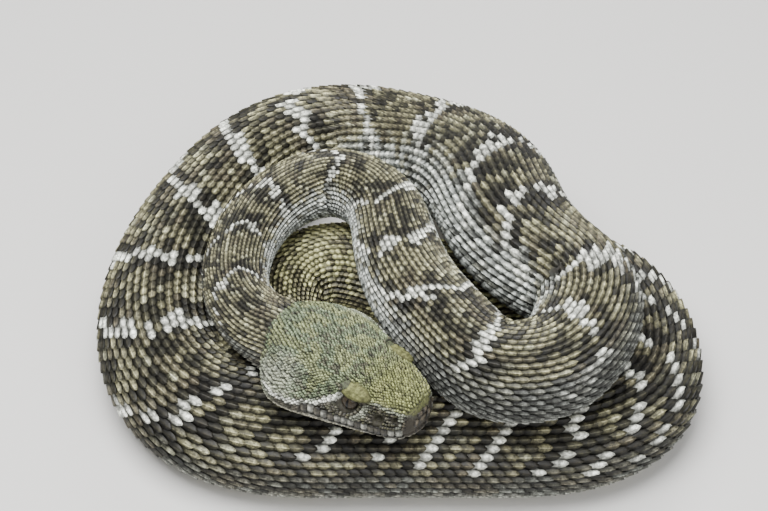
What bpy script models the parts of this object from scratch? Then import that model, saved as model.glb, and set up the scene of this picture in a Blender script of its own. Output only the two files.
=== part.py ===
"""Western diamondback rattlesnake at rest in a coil, a still model at life size.

Metres, +Z up. The origin lies on the floor under the middle of the coil. The snake faces the
front right, with +X to the right and +Y to the back.
"""
import math

import bmesh
import bpy
import numpy as np

MM = 0.001
GAP = 0.3

# Route of the middle of the belly, mm, from under the snout to the end of the tail
ROUTE = [
    (12.6, -105.1, 41), (1.2, -96.1, 41.5), (-10.2, -87.1, 42.1), (-21.9, -77.8, 42.6), (-32.5, -69.5, 42.2),
    (-41.5, -61.5, 40.6), (-48, -51.5, 38.9), (-51.8, -40, 37), (-52.5, -26, 35), (-49.5, -8.5, 33),
    (-39, 10, 32.5), (-20, 18, 34), (-2.8, 4.9, 37), (4.2, -22, 39), (11.4, -48.5, 40),
    (24.1, -71.7, 41), (38.2, -87.7, 42), (54.7, -87.3, 42.5), (66.5, -74.1, 43), (69.1, -55.7, 43),
    (57.7, -39.2, 42), (46.7, -20.1, 39), (40.5, 3.8, 32), (31, 32, 19), (11, 58, 6),
    (-18, 71, 0), (-42, 62, 0), (-61, 38, 0), (-75, 6, 0), (-80, -26, 0),
    (-75, -53, 0), (-60, -72, 0), (-38, -80, 0), (-10, -81, 0), (18, -81, 0),
    (46, -81, 0), (70, -77, 0), (86, -65, 0), (91, -46, 0), (87.5, -25, 0),
    (77, -9.5, 0), (62, -3, 0), (45, -4.5, 0), (27, -6, 0), (9, -3, 0),
    (-8, 3.5, 0), (-23, 4.5, 0), (-34, -2.5, 0), (-38, -15, 0), (-35.5, -29, 0),
    (-25.5, -39.5, 0), (-11, -43.5, 0), (5, -44, 0), (19, -43.5, 0), (33, -42, 0),
]
# Middle of the coil's box on the floor, mm, taken off every point of the route
COIL_MIDDLE = (4.82, -7.97, 0.0)

# Distance from the snout along the route, half width and half height of the body, mm
GIRTH = [
    (0, 13.4, 11.9), (57, 13.4, 11.9), (77, 12.2, 11), (115, 12.2, 11.2), (155, 12.8, 12.2),
    (190, 13.4, 13.2), (215, 15, 14.7), (240, 16.4, 15.9), (270, 17, 16.7), (305, 17.6, 17.3),
    (345, 19.2, 18.3), (375, 21.9, 19.4), (400, 23.2, 20.1), (475, 24, 20.9), (655, 24, 21),
    (795, 24, 21), (855, 23, 20), (905, 21, 18.6), (945, 18.8, 17.1), (985, 17.9, 16.5),
    (1015, 16.7, 15.6), (1040, 14.6, 13.7), (1060, 12.4, 12), (1080, 10.6, 10.3), (1110, 8.4, 8.4),
    (1145, 6.4, 6.4),
]
# The flat of the belly meets the round of the flank this far below the middle of the side
BELLY_ANGLE = math.radians(60)
# The inner side of a tight bend keeps to this share of the bend's radius
SQUEEZE = 0.93
ROUND_STEPS = 18
STATION_STEP = 7.5
ROUTE_SAMPLES = 4000

# The body's lengths, mm from the snout; the head's own sizes below are drawn before enlarging
HEAD_DRAWN = 55.0
HEAD_SCALE = 1.045
HEAD_LENGTH = HEAD_DRAWN * HEAD_SCALE
NECK_END = 150.0
VENT = 1047.0
TORSO_LENGTHS = 9

# Sections of the head, mm: distance forward from its back, half width and height of the brow edge,
# half width and height of the upper lip, top, mouth line, half width of the lower lip, chin
HEAD_STATIONS = [
    (0, 9.0, 18.2, 13.0, 9.5, 21.5, 7.6, 12.5, 0.0),
    (4, 11.4, 19.2, 18.4, 9.8, 22.4, 7.8, 17.8, 0.1),
    (9, 13.6, 19.9, 22.2, 9.8, 23.1, 7.8, 21.4, 0.3),
    (15.5, 14.6, 20.3, 22.8, 9.8, 23.3, 7.9, 21.8, 0.4),
    (22, 14.2, 20.3, 21.2, 9.8, 23.0, 7.8, 20.0, 0.5),
    (28.5, 13.3, 20.1, 18.8, 9.6, 22.4, 7.4, 17.5, 0.7),
    (35, 12.4, 19.6, 16.2, 9.3, 21.5, 6.9, 14.9, 1.0),
    (41, 10.5, 18.6, 13.8, 9.0, 20.1, 6.5, 12.5, 1.4),
    (47, 8.8, 17.6, 11.6, 8.8, 18.7, 6.4, 10.2, 2.0),
    (51.3, 7.1, 16.7, 9.4, 8.8, 17.7, 6.5, 7.9, 2.8),
    (54, 5.0, 15.5, 6.8, 9.0, 16.4, 6.8, 5.4, 3.7),
    (55, 3.2, 14.0, 4.2, 9.4, 14.7, 7.2, 3.2, 5.1),
]
HEAD_ROWS = 34
HEAD_COLUMNS = 15

# The mouth in side view, mm forward from the back of the head and up, with its end behind the jaw
MOUTH_LINE = [
    (60, 7.4), (54, 6.8), (47, 6.3), (40, 6.6), (32, 7.4), (25, 8.6), (21.5, 6.5), (19.5, 2.5), (18.5, -4),
]
MOUTH_REACH = 34.0

# Middles and sizes of what each side of the head carries, mm forward, out and up
EYE_MIDDLE = (35.0, 11.7, 15.0)
EYE_RADIUS = 3.1
BROW_MIDDLE = (36.0, 10.9, 18.8)
BROW_HALF_SIZE = (6.3, 3.3, 1.7)
BROW_TILT = math.radians(24)
PIT_MIDDLE = (45.6, 11.1, 12.2)
PIT_HALF_SIZE = (1.3, 1.8, 1.1)
PIT_DIVISIONS = (10, 6)
NOSTRIL_MIDDLE = (50.6, 8.4, 12.9)
NOSTRIL_HALF_SIZE = (1.0, 1.3, 1.2)

# The rattle, mm: each segment swells to a rim and is pinched along its side
RATTLE_SEGMENTS = 9
SEGMENT_LENGTH = 3.6
SEGMENT_ROWS = 4
RATTLE_COLUMNS = 14
RATTLE_HALF_WIDTH = (3.9, 2.7)
RATTLE_HALF_HEIGHT = (5.3, 3.4)
RATTLE_NECKING = 0.22
RATTLE_PINCH = 0.14
RATTLE_LIFT = 5.7

# Colour, roughness
BODY_FINISH = ((0.165, 0.145, 0.100), 0.62)
HEAD_FINISH = ((0.270, 0.270, 0.165), 0.60)
JAW_FINISH = ((0.330, 0.300, 0.230), 0.60)
TAIL_FINISH = ((0.420, 0.410, 0.370), 0.60)
EYE_FINISH = ((0.060, 0.045, 0.025), 0.12)
RATTLE_FINISH = ((0.380, 0.290, 0.165), 0.45)


def natural_cubic(knots, values):
    """Return a function that reads the natural cubic spline through values at any knot position."""
    knots = np.asarray(knots, float)
    values = np.asarray(values, float)
    count = len(knots)
    gap = np.diff(knots)
    matrix = np.eye(count)
    right = np.zeros_like(values)
    for i in range(1, count - 1):
        matrix[i, i - 1:i + 2] = gap[i - 1], 2 * (gap[i - 1] + gap[i]), gap[i]
        right[i] = 6 * ((values[i + 1] - values[i]) / gap[i] - (values[i] - values[i - 1]) / gap[i - 1])
    bend = np.linalg.solve(matrix, right)

    def read(at):
        at = np.asarray(at, float)
        i = np.clip(np.searchsorted(knots, at) - 1, 0, count - 2)
        width = gap[i][:, None]
        left = (knots[i + 1] - at)[:, None]
        ahead = (at - knots[i])[:, None]
        curve = (bend[i] * left ** 3 + bend[i + 1] * ahead ** 3) / (6 * width)
        line = (values[i] / width - bend[i] * width / 6) * left
        return curve + line + (values[i + 1] / width - bend[i + 1] * width / 6) * ahead

    return read


def run_length(points):
    """Distance along a row of points, from its first one."""
    return np.r_[0, np.cumsum(np.linalg.norm(np.diff(points, axis=0), axis=1))]


class Body:
    """Where the snake's belly runs and how thick it is, by distance in mm from the snout."""

    def __init__(self):
        points = np.array(ROUTE, float) - np.array(COIL_MIDDLE)
        chord = run_length(points)
        self.places = natural_cubic(chord, points)(np.linspace(0, chord[-1], ROUTE_SAMPLES))
        self.places[:, 2] = np.maximum(self.places[:, 2], 0)
        self.run = run_length(self.places)
        self.length = self.run[-1]
        tangent = np.gradient(self.places, self.run, axis=0)
        self.tangent = tangent / np.linalg.norm(tangent, axis=1)[:, None]
        girth = np.array(GIRTH, float)
        self.girth = natural_cubic(girth[:, 0], girth[:, 1:])
        heading = np.unwrap(np.arctan2(self.tangent[:, 1], self.tangent[:, 0]))
        self.turn = np.gradient(heading, self.run)

    def frame(self, s):
        """Belly point and the directions to the tail, the snake's left and its back."""
        place = np.array([np.interp(s, self.run, self.places[:, k]) for k in range(3)]).T
        aft = np.array([np.interp(s, self.run, self.tangent[:, k]) for k in range(3)]).T
        aft = aft / np.linalg.norm(aft, axis=-1, keepdims=True)
        left = np.cross(aft, [0, 0, 1.0])
        left = left / np.linalg.norm(left, axis=-1, keepdims=True)
        return place, aft, left, np.cross(left, aft)

    def section(self, s, angles):
        """Rings of points round the body: angle 0 on its left side, 90 degrees on its back."""
        place, aft, left, up = self.frame(s)
        width, height = self.girth(s).T
        turn = np.interp(s, self.run, self.turn)
        room = SQUEEZE / np.maximum(np.abs(turn), 1e-6)
        left_reach = np.where(turn < 0, np.minimum(width, room), width)
        right_reach = np.where(turn > 0, np.minimum(width, room), width)
        cosine = np.cos(angles)[None, :]
        out = cosine * np.where(cosine > 0, left_reach[:, None], right_reach[:, None])
        rise = (np.sin(angles)[None, :] + math.sin(BELLY_ANGLE)) * height[:, None]
        return place[:, None] + left[:, None] * out[..., None] + up[:, None] * rise[..., None]


def head_outline(station):
    """Half of a head section, out and up, from the middle of the top to the middle of the chin."""
    forward, brow, brow_z, lip, lip_z, top, mouth, jaw, chin = station
    face = lip - brow
    drop = brow_z - lip_z
    return [
        (0.0, top),
        (0.42 * brow, top - 0.08 * (top - brow_z)),
        (0.78 * brow, top - 0.42 * (top - brow_z)),
        (brow, brow_z),
        (brow + 0.22 * face, brow_z - 0.34 * drop),
        (brow + 0.72 * face, brow_z - 0.68 * drop),
        (lip, lip_z),
        (lip - 0.35, mouth),
        (jaw, mouth - 1.7),
        (0.80 * jaw, chin + 0.25 * (mouth - chin)),
        (0.42 * jaw, chin + 0.03 * (mouth - chin)),
        (0.0, chin),
    ]


def head_to_world(body, points):
    """Carry points given forward, out to the left and up from the back of the head."""
    points = np.asarray(points, float) * HEAD_SCALE
    place, aft, left, up = body.frame(HEAD_LENGTH - points[:, 0])
    return place + left * points[:, 1:2] + up * points[:, 2:3]


def new_object(name, vertices, faces, material, collection):
    """Make a smooth-shaded mesh object from points in mm."""
    mesh = bpy.data.meshes.new(name)
    mesh.from_pydata([tuple(v * MM for v in vertex) for vertex in vertices], [], faces)
    shape = bmesh.new()
    shape.from_mesh(mesh)
    bmesh.ops.recalc_face_normals(shape, faces=shape.faces)
    shape.to_mesh(mesh)
    shape.free()
    mesh.materials.append(material)
    mesh.shade_smooth()
    made = bpy.data.objects.new(name, mesh)
    collection.objects.link(made)
    return made


def loft(name, rings, material, collection):
    """Close a row of rings, each with as many points, into one solid with flat ends."""
    count = len(rings[0])
    vertices = [tuple(point) for ring in rings for point in ring]
    faces = []
    for i in range(len(rings) - 1):
        for j in range(count):
            k = (j + 1) % count
            faces.append((i * count + j, i * count + k, (i + 1) * count + k, (i + 1) * count + j))
    faces.append(tuple(range(count)))
    faces.append(tuple(range((len(rings) - 1) * count, len(rings) * count)))
    return new_object(name, vertices, faces, material, collection)


def finish(name, colour, roughness):
    """A Principled BSDF material."""
    material = bpy.data.materials.new(name)
    material.use_nodes = True
    shader = material.node_tree.nodes["Principled BSDF"]
    shader.inputs["Base Color"].default_value = (*colour, 1.0)
    shader.inputs["Roughness"].default_value = roughness
    shader.inputs["Metallic"].default_value = 0.0
    return material


def body_length(name, body, start, end, material, collection):
    """One length of the body, with flat ends square to its line and half a gap short of each cut."""
    stations = np.linspace(start, end, max(3, round((end - start) / STATION_STEP) + 1))
    angles = np.linspace(-BELLY_ANGLE, math.pi + BELLY_ANGLE, ROUND_STEPS + 1)
    rings = body.section(stations, angles)
    aft = body.frame(stations)[1]
    rings[0] += aft[0] * GAP / 2
    rings[-1] -= aft[-1] * GAP / 2
    return loft(name, rings, material, collection)


def ellipsoid(name, body, middle, half_size, side, tilt, collection, columns=16, rows=10):
    """A ball stretched along the head's own directions, its outer side tipped down by tilt."""
    shape = bmesh.new()
    bmesh.ops.create_uvsphere(shape, u_segments=columns, v_segments=rows, radius=1.0)
    forward, out, up = np.array(middle) * HEAD_SCALE
    place, aft, left, above = (part[0] for part in body.frame(np.array([HEAD_LENGTH - forward])))
    centre = place + left * out * side + above * up
    outward = left * side * math.cos(tilt) - above * math.sin(tilt)
    upward = above * math.cos(tilt) + left * side * math.sin(tilt)
    length, width, height = np.array(half_size) * HEAD_SCALE
    axes = (-aft * length, outward * width, upward * height)
    for vertex in shape.verts:
        point = centre + sum(axis * share for axis, share in zip(axes, vertex.co))
        vertex.co = [value * MM for value in point]
    if side < 0:
        bmesh.ops.reverse_faces(shape, faces=shape.faces)
    mesh = bpy.data.meshes.new(name)
    shape.to_mesh(mesh)
    shape.free()
    mesh.shade_smooth()
    made = bpy.data.objects.new(name, mesh)
    collection.objects.link(made)
    return made


def mouth_cut(body, cutters):
    """The thin curved sheet that parts the lower jaw from the head, with even thickness."""
    rows = []
    for forward, up in MOUTH_LINE:
        line = [(forward, out, up) for out in (-MOUTH_REACH, 0.0, MOUTH_REACH)]
        rows.append(head_to_world(body, line))
    vertices = [tuple(v * MM for v in point) for row in rows for point in row]
    faces = [
        (3 * i + j, 3 * i + j + 1, 3 * i + j + 4, 3 * i + j + 3)
        for i in range(len(rows) - 1) for j in range(2)
    ]
    mesh = bpy.data.meshes.new("mouth_cut")
    mesh.from_pydata(vertices, [], faces)
    sheet = bpy.data.objects.new("mouth_cut", mesh)
    cutters.objects.link(sheet)
    thickness = sheet.modifiers.new("thickness", "SOLIDIFY")
    thickness.thickness = GAP * MM
    thickness.offset = 0.0
    thickness.use_even_offset = True
    return sheet


def boolean(target, operation, operands):
    """Join each operand to the target, or cut it away. The exact solver leaves edges open here."""
    for operand in operands:
        modifier = target.modifiers.new(operand.name, "BOOLEAN")
        modifier.operation = operation
        modifier.object = operand
        modifier.solver = "MANIFOLD"


def split_pieces(source):
    """The closed pieces of an object's evaluated mesh, as new meshes, lowest middle first."""
    bpy.context.view_layer.update()
    whole = bpy.data.meshes.new_from_object(source.evaluated_get(bpy.context.evaluated_depsgraph_get()))
    shape = bmesh.new()
    shape.from_mesh(whole)
    waiting = set(shape.verts)
    groups = []
    while waiting:
        front = [waiting.pop()]
        group = set(front)
        while front:
            vertex = front.pop()
            for edge in vertex.link_edges:
                other = edge.other_vert(vertex)
                if other in waiting:
                    waiting.discard(other)
                    group.add(other)
                    front.append(other)
        groups.append(group)
    groups = sorted(groups, key=len)[-2:]
    groups.sort(key=lambda group: sum(vertex.co.z for vertex in group) / len(group))
    keep = [{vertex.index for vertex in group} for group in groups]
    shape.free()
    pieces = []
    for indices in keep:
        part = bmesh.new()
        part.from_mesh(whole)
        part.verts.ensure_lookup_table()
        spare = [vertex for vertex in part.verts if vertex.index not in indices]
        bmesh.ops.delete(part, geom=spare, context="VERTS")
        mesh = whole.copy()
        mesh.clear_geometry()
        part.to_mesh(mesh)
        part.free()
        pieces.append(mesh)
    return pieces


def make_head(body, materials, collection, cutters):
    """The head with its brow plates, eye sockets, pits and nostrils, parted from its lower jaw."""
    table = np.array(HEAD_STATIONS, float)
    read = natural_cubic(np.arange(len(table)), table)
    rings = []
    for station in read(np.linspace(0, len(table) - 1, HEAD_ROWS)):
        outline = np.array(head_outline(station))
        chord = run_length(outline)
        half = natural_cubic(chord, outline)(np.linspace(0, chord[-1], HEAD_COLUMNS))
        half[0, 0] = half[-1, 0] = 0.0
        ring = [(station[0], out, up) for out, up in half]
        ring += [(station[0], -out, up) for out, up in half[-2:0:-1]]
        rings.append(head_to_world(body, ring))
    forward = -body.frame(np.array([HEAD_LENGTH]))[1][0]
    rings[0] = rings[0] + forward * GAP / 2
    whole = loft("whole_head", rings, materials["head"], collection)

    plates = []
    hollows = []
    for name, side in (("left", 1), ("right", -1)):
        plates.append(ellipsoid(f"brow_{name}", body, BROW_MIDDLE, BROW_HALF_SIZE, side, BROW_TILT, cutters))
        socket = (EYE_RADIUS + GAP,) * 3
        hollows.append(ellipsoid(f"socket_{name}", body, EYE_MIDDLE, socket, side, 0.0, cutters))
        pit = (PIT_MIDDLE, PIT_HALF_SIZE, side, 0.0, cutters)
        hollows.append(ellipsoid(f"pit_{name}", body, *pit, *PIT_DIVISIONS))
        nostril = (NOSTRIL_MIDDLE, NOSTRIL_HALF_SIZE, side, 0.0, cutters)
        hollows.append(ellipsoid(f"nostril_{name}", body, *nostril, *PIT_DIVISIONS))
    hollows.append(mouth_cut(body, cutters))
    boolean(whole, "UNION", plates)
    boolean(whole, "DIFFERENCE", hollows)
    jaw_mesh, head_mesh = split_pieces(whole)
    bpy.data.objects.remove(whole)

    halves = (("head", head_mesh, materials["head"]), ("lower_jaw", jaw_mesh, materials["jaw"]))
    for name, mesh, material in halves:
        mesh.materials.clear()
        mesh.materials.append(material)
        mesh.name = name
        collection.objects.link(bpy.data.objects.new(name, mesh))
    for side_name, side in (("left", 1), ("right", -1)):
        eye = ellipsoid(f"eye_{side_name}", body, EYE_MIDDLE, (EYE_RADIUS,) * 3, side, 0.0, collection)
        eye.data.materials.append(materials["eye"])


def make_rattle(body, material, collection):
    """Interlocked keratin segments in line with the tail, each narrow at its root."""
    place, aft, left, up = (part[0] for part in body.frame(np.array([body.length])))
    place = place * np.array([1, 1, 0]) + np.array([0, 0, RATTLE_LIFT])
    aft = aft * np.array([1, 1, 0])
    aft = aft / np.linalg.norm(aft)
    total = RATTLE_SEGMENTS * SEGMENT_ROWS
    angles = np.linspace(0, 2 * math.pi, RATTLE_COLUMNS, endpoint=False)
    rings = []
    for row in range(total + 1):
        share = row / total
        phase = (row % SEGMENT_ROWS) / SEGMENT_ROWS
        swell = 1 - RATTLE_NECKING * math.cos(math.pi * phase) ** 2
        if row == total:
            swell = 0.5
        width = swell * (RATTLE_HALF_WIDTH[0] + share * (RATTLE_HALF_WIDTH[1] - RATTLE_HALF_WIDTH[0]))
        height = swell * (RATTLE_HALF_HEIGHT[0] + share * (RATTLE_HALF_HEIGHT[1] - RATTLE_HALF_HEIGHT[0]))
        centre = place + aft * (GAP + share * RATTLE_SEGMENTS * SEGMENT_LENGTH)
        ring = []
        for angle in angles:
            pinch = 1 - RATTLE_PINCH * math.exp(-(math.sin(angle) / 0.4) ** 2)
            out = width * math.cos(angle) * pinch
            ring.append(centre + left * out + np.array([0, 0, 1.0]) * height * math.sin(angle))
        rings.append(np.array(ring))
    return loft("rattle", rings, material, collection)


def main():
    for item in list(bpy.data.objects):
        bpy.data.objects.remove(item)
    scene = bpy.context.scene.collection
    snake = bpy.data.collections.new("western_diamondback_rattlesnake")
    cutters = bpy.data.collections.new("cutters")
    scene.children.link(snake)
    scene.children.link(cutters)
    materials = {
        "body": finish("body_scales", *BODY_FINISH),
        "head": finish("head_scales", *HEAD_FINISH),
        "jaw": finish("jaw_scales", *JAW_FINISH),
        "tail": finish("tail_scales", *TAIL_FINISH),
        "eye": finish("eye_surface", *EYE_FINISH),
        "rattle": finish("rattle_keratin", *RATTLE_FINISH),
    }
    body = Body()
    make_head(body, materials, snake, cutters)
    body_length("neck", body, HEAD_LENGTH, NECK_END, materials["body"], snake)
    cuts = np.linspace(NECK_END, VENT, TORSO_LENGTHS + 1)
    for number in range(TORSO_LENGTHS):
        body_length(f"torso_{number + 1}", body, cuts[number], cuts[number + 1], materials["body"], snake)
    body_length("tail", body, VENT, body.length, materials["tail"], snake)
    make_rattle(body, materials["rattle"], snake)
    for cutter in cutters.objects:
        cutter.hide_render = True
        cutter.display_type = "WIRE"


main()
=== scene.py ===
"""Western diamondback rattlesnake at rest in a coil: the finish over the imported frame.

Metres in Blender, millimetres in the tables. One skin replaces the solids of flesh and lies a
scale's depth inside them. Scales, belly scutes, head plates, eyes and rattle are laid over it.
"""
import math

import bmesh
import bpy
import numpy as np
from mathutils import Matrix, Vector


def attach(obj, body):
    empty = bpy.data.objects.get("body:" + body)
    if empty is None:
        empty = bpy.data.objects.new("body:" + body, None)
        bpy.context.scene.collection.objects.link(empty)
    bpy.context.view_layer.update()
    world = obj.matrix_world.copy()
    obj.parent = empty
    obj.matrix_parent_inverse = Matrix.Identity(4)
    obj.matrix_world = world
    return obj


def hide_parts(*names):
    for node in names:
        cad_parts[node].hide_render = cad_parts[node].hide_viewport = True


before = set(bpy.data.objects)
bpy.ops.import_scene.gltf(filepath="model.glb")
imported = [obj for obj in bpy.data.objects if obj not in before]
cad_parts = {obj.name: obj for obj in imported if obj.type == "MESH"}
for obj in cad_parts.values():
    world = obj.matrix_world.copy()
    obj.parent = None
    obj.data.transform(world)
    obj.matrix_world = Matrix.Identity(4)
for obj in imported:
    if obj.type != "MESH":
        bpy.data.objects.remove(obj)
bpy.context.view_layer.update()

bl_info = {
    "name": "Coiled rattlesnake finish",
    "version": (1, 0, 0),
    "blender": (4, 5, 0),
    "location": "View3D > Sidebar > Rattlesnake",
    "description": "Skin, scales, head plates, eyes and rattle over the packed solids",
    "category": "Object",
}

MM = 0.001

# Route of the middle of the belly, mm, from under the snout to the end of the tail, as in the solids
ROUTE = [
    (12.6, -105.1, 41), (1.2, -96.1, 41.5), (-10.2, -87.1, 42.1), (-21.9, -77.8, 42.6), (-32.5, -69.5, 42.2),
    (-41.5, -61.5, 40.6), (-48, -51.5, 38.9), (-51.8, -40, 37), (-52.5, -26, 35), (-49.5, -8.5, 33),
    (-39, 10, 32.5), (-20, 18, 34), (-2.8, 4.9, 37), (4.2, -22, 39), (11.4, -48.5, 40),
    (24.1, -71.7, 41), (38.2, -87.7, 42), (54.7, -87.3, 42.5), (66.5, -74.1, 43), (69.1, -55.7, 43),
    (57.7, -39.2, 42), (46.7, -20.1, 39), (40.5, 3.8, 32), (31, 32, 19), (11, 58, 6),
    (-18, 71, 0), (-42, 62, 0), (-61, 38, 0), (-75, 6, 0), (-80, -26, 0),
    (-75, -53, 0), (-60, -72, 0), (-38, -80, 0), (-10, -81, 0), (18, -81, 0),
    (46, -81, 0), (70, -77, 0), (86, -65, 0), (91, -46, 0), (87.5, -25, 0),
    (77, -9.5, 0), (62, -3, 0), (45, -4.5, 0), (27, -6, 0), (9, -3, 0),
    (-8, 3.5, 0), (-23, 4.5, 0), (-34, -2.5, 0), (-38, -15, 0), (-35.5, -29, 0),
    (-25.5, -39.5, 0), (-11, -43.5, 0), (5, -44, 0), (19, -43.5, 0), (33, -42, 0),
]
COIL_MIDDLE = (4.82, -7.97, 0.0)

# Distance from the snout along the route, half width and half height of the body, mm
GIRTH = [
    (0, 13.4, 11.9), (57, 13.4, 11.9), (77, 12.2, 11), (115, 12.2, 11.2), (155, 12.8, 12.2),
    (190, 13.4, 13.2), (215, 15, 14.7), (240, 16.4, 15.9), (270, 17, 16.7), (305, 17.6, 17.3),
    (345, 19.2, 18.3), (375, 21.9, 19.4), (400, 23.2, 20.1), (475, 24, 20.9), (655, 24, 21),
    (795, 24, 21), (855, 23, 20), (905, 21, 18.6), (945, 18.8, 17.1), (985, 17.9, 16.5),
    (1015, 16.7, 15.6), (1040, 14.6, 13.7), (1060, 12.4, 12), (1080, 10.6, 10.3), (1110, 8.4, 8.4),
    (1145, 6.4, 6.4),
]
BELLY_ANGLE = math.radians(60)
SQUEEZE = 0.93
ROUTE_SAMPLES = 4000
VENT = 1047.0
HEAD_DRAWN = 55.0
HEAD_SCALE = 1.045
HEAD_LENGTH = HEAD_DRAWN * HEAD_SCALE

# Sections of the head before enlarging, mm: distance forward from its back, half width and height
# of the brow edge, half width and height of the upper lip, top, mouth line, half width of the
# lower lip, chin
HEAD_STATIONS = [
    (0, 9.0, 18.2, 13.0, 9.5, 21.5, 7.6, 12.5, 0.0),
    (4, 11.4, 19.2, 18.4, 9.8, 22.4, 7.8, 17.8, 0.1),
    (9, 13.6, 19.9, 22.2, 9.8, 23.1, 7.8, 21.4, 0.3),
    (15.5, 14.6, 20.3, 22.8, 9.8, 23.3, 7.9, 21.8, 0.4),
    (22, 14.2, 20.3, 21.2, 9.8, 23.0, 7.8, 20.0, 0.5),
    (28.5, 13.3, 20.1, 18.8, 9.6, 22.4, 7.4, 17.5, 0.7),
    (35, 12.4, 19.6, 16.2, 9.3, 21.5, 6.9, 14.9, 1.0),
    (41, 10.5, 18.6, 13.8, 9.0, 20.1, 6.5, 12.5, 1.4),
    (47, 8.8, 17.6, 11.6, 8.8, 18.7, 6.4, 10.2, 2.0),
    (51.3, 7.1, 16.7, 9.4, 8.8, 17.7, 6.5, 7.9, 2.8),
    (54, 5.0, 15.5, 6.8, 9.0, 16.4, 6.8, 5.4, 3.7),
    (55, 3.2, 14.0, 4.2, 9.4, 14.7, 7.2, 3.2, 5.1),
]
MOUTH_LINE = [(60, 7.4), (54, 6.8), (47, 6.3), (40, 6.6), (32, 7.4), (25, 8.6), (21.5, 8.2)]
MOUTH_CORNER = 21.5
EYE_MIDDLE = (35.0, 11.7, 15.0)
EYE_RADIUS = 3.1
BROW_MIDDLE = (36.0, 10.9, 18.8)
BROW_HALF_SIZE = (6.3, 3.3, 1.7)
BROW_TILT = math.radians(24)
PIT_MIDDLE = (45.6, 11.1, 12.2)
NOSTRIL_MIDDLE = (50.6, 8.4, 12.9)
SNOUT_MIDDLE_HEIGHT = 9.9
# The head's scales above this height are the crown's
CROWN_HEIGHT = 15.5
# Hollows of the skin: middle, depth, where it starts to rise and where it ends, and the radius that
# is kept free of small scales, mm
HOLLOWS = [
    (EYE_MIDDLE, 1.5, 2.0, 4.0, 5.1), (PIT_MIDDLE, 1.9, 0.5, 1.9, 2.3), (NOSTRIL_MIDDLE, 1.3, 0.3, 1.3, 1.5),
]
MOUTH_GROOVE = (0.5, 0.4)
# Above and below the mouth line as far as this there are lip plates and no small scales, mm
LIP_TALL = (3.5, 3.2)
# The part of the crown under each brow plate: middle and half size, forward and out, and least height
BROW_BED = ((36.0, 11.6), (4.9, 2.4), 16.4)

# Stripes of the face in side view, mm forward and up
REAR_STRIPE = [(33.0, 17.4), (29.5, 14.6), (25, 12.2), (18, 10.8), (10, 10.6), (4, 10.8)]
FRONT_STRIPE = [(41.4, 15.0), (40.6, 12.4), (38.6, 10.8)]

# The rattle, mm
RATTLE_SEGMENTS = 9
SEGMENT_LENGTH = 3.6
RATTLE_HALF_WIDTH = (3.9, 2.7)
RATTLE_HALF_HEIGHT = (5.3, 3.4)
RATTLE_PINCH = 0.14
RATTLE_LIFT = 5.7

# Rows of scales: along the body and round it, as shares of the body's half width, and least sizes, mm
PITCH_SHARE = 0.170
LEAST_PITCH = 1.8
ROW_SHARE = 0.130
LEAST_ROW = 1.4
HALF_ROWS = 17
DEPTH_SHARE = 0.045
HEAD_DEPTH = 0.45
SCUTE_ANGLE = math.radians(-46)
# Width of a body scale and of a head scale against its row
BODY_WIDTH = 1.16
HEAD_WIDTH = 1.06
# Head scales are smallest over the brow and grow to the nape and the snout: place forward, pitch, mm
GRANULE_PITCH = ([0, 12, 28, 40, 50, 55], [1.55, 1.3, 1.1, 1.05, 1.2, 1.35])
GRANULE_STRIDE = 0.62
GRANULE_REACH = (0.6, 53.6)

# Rings of the skin: points round the head and the body, distance between rings, length of the
# easing from nape to neck and half width of the nape, mm
HEAD_POINTS = 192
BODY_POINTS = 96
HEAD_STEP = 0.45
BODY_STEP = 2.6
NECK_BLEND = 8.0
NAPE_HALF_WIDTH = 12.0
# The head's surface is read from a table of this many sections, with this many points down a side
HEAD_SAMPLES = 240
HEAD_ROUND = 121

# Where each pale chain of scales crosses the back, mm from the snout, and its lean to the left by row
CHAINS = [
    (89, 0), (117, 0.5), (142.5, 0.5), (174, 1.5), (207, 0.8), (233, 0.5), (264, -1), (292, 1),
    (324, 0.2), (349, 1.2), (383, 1.7), (411, 3), (456, 2), (499, 3.2), (535.5, -0.5), (563.5, -2),
    (598, -2.6), (629, 0.3), (665, -0.5), (703, -1.3), (743, -1), (765, -1), (783, -0.8), (802.5, -0.6),
    (823, -0.4), (841.5, -0.6), (858, -0.8), (876, 0), (891, 0.4), (907, 0), (923, -0.4), (939, 0),
    (955, 0.4), (970, 0), (985, -0.4), (1000, 0), (1015, 0.4), (1030, 0),
]
CHAIN_BEND = 0.28
CHAIN_WANDER = 1.3
CHAIN_REACH = 7.2
# Half a chain's width against the pitch and the share of its scales that are pale, each up to
# RAISED_END and beyond it
CHAIN_HALF_WIDTH = (0.62, 0.50)
CHAIN_FILL = (0.92, 0.80)
FLANK_ROW = 7.4
# Up to this distance from the snout the pale chains are broader and some branch, mm
RAISED_END = 680.0
# The pattern is drawn for 25 rows of scales, and this many of those stand for one row laid here
PATTERN_ROW = 0.71

# The bake map: a patch for each scale at its root's place on the unwrapped skin, and the length
# of skin, belly, head and head plates that fills the map, mm
PATCH = 0.003
MAP_MARGIN = 0.01
SKIN_MAP_LENGTH = 1130.0
BELLY_MAP_LENGTH = 1160.0
HEAD_MAP_LENGTH = 56.0
PLATE_MAP_LENGTH = 60.0

# The camera stands at the photograph's viewing angle, m
CAMERA_ELEVATION = math.radians(44)
CAMERA_DISTANCE = 0.90
CAMERA_TARGET = (-COIL_MIDDLE[0] * MM, -COIL_MIDDLE[1] * MM, 0.025)
CAMERA_LENS = 114.0
CAMERA_SENSOR = 36.0

# Each light's name, place and width, m, and its share of the main light's power
LIGHTS = [
    ("main_light", (-0.12, -0.14, 0.85), 0.6, 1.0),
    ("fill_light", (0.35, -0.75, 0.55), 0.7, 0.28),
    ("back_light", (0.2, 0.7, 0.6), 0.5, 0.12),
]
ROOM_COLOUR = (0.86, 0.88, 0.90, 1)
ROOM_STRENGTH = 0.50
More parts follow.
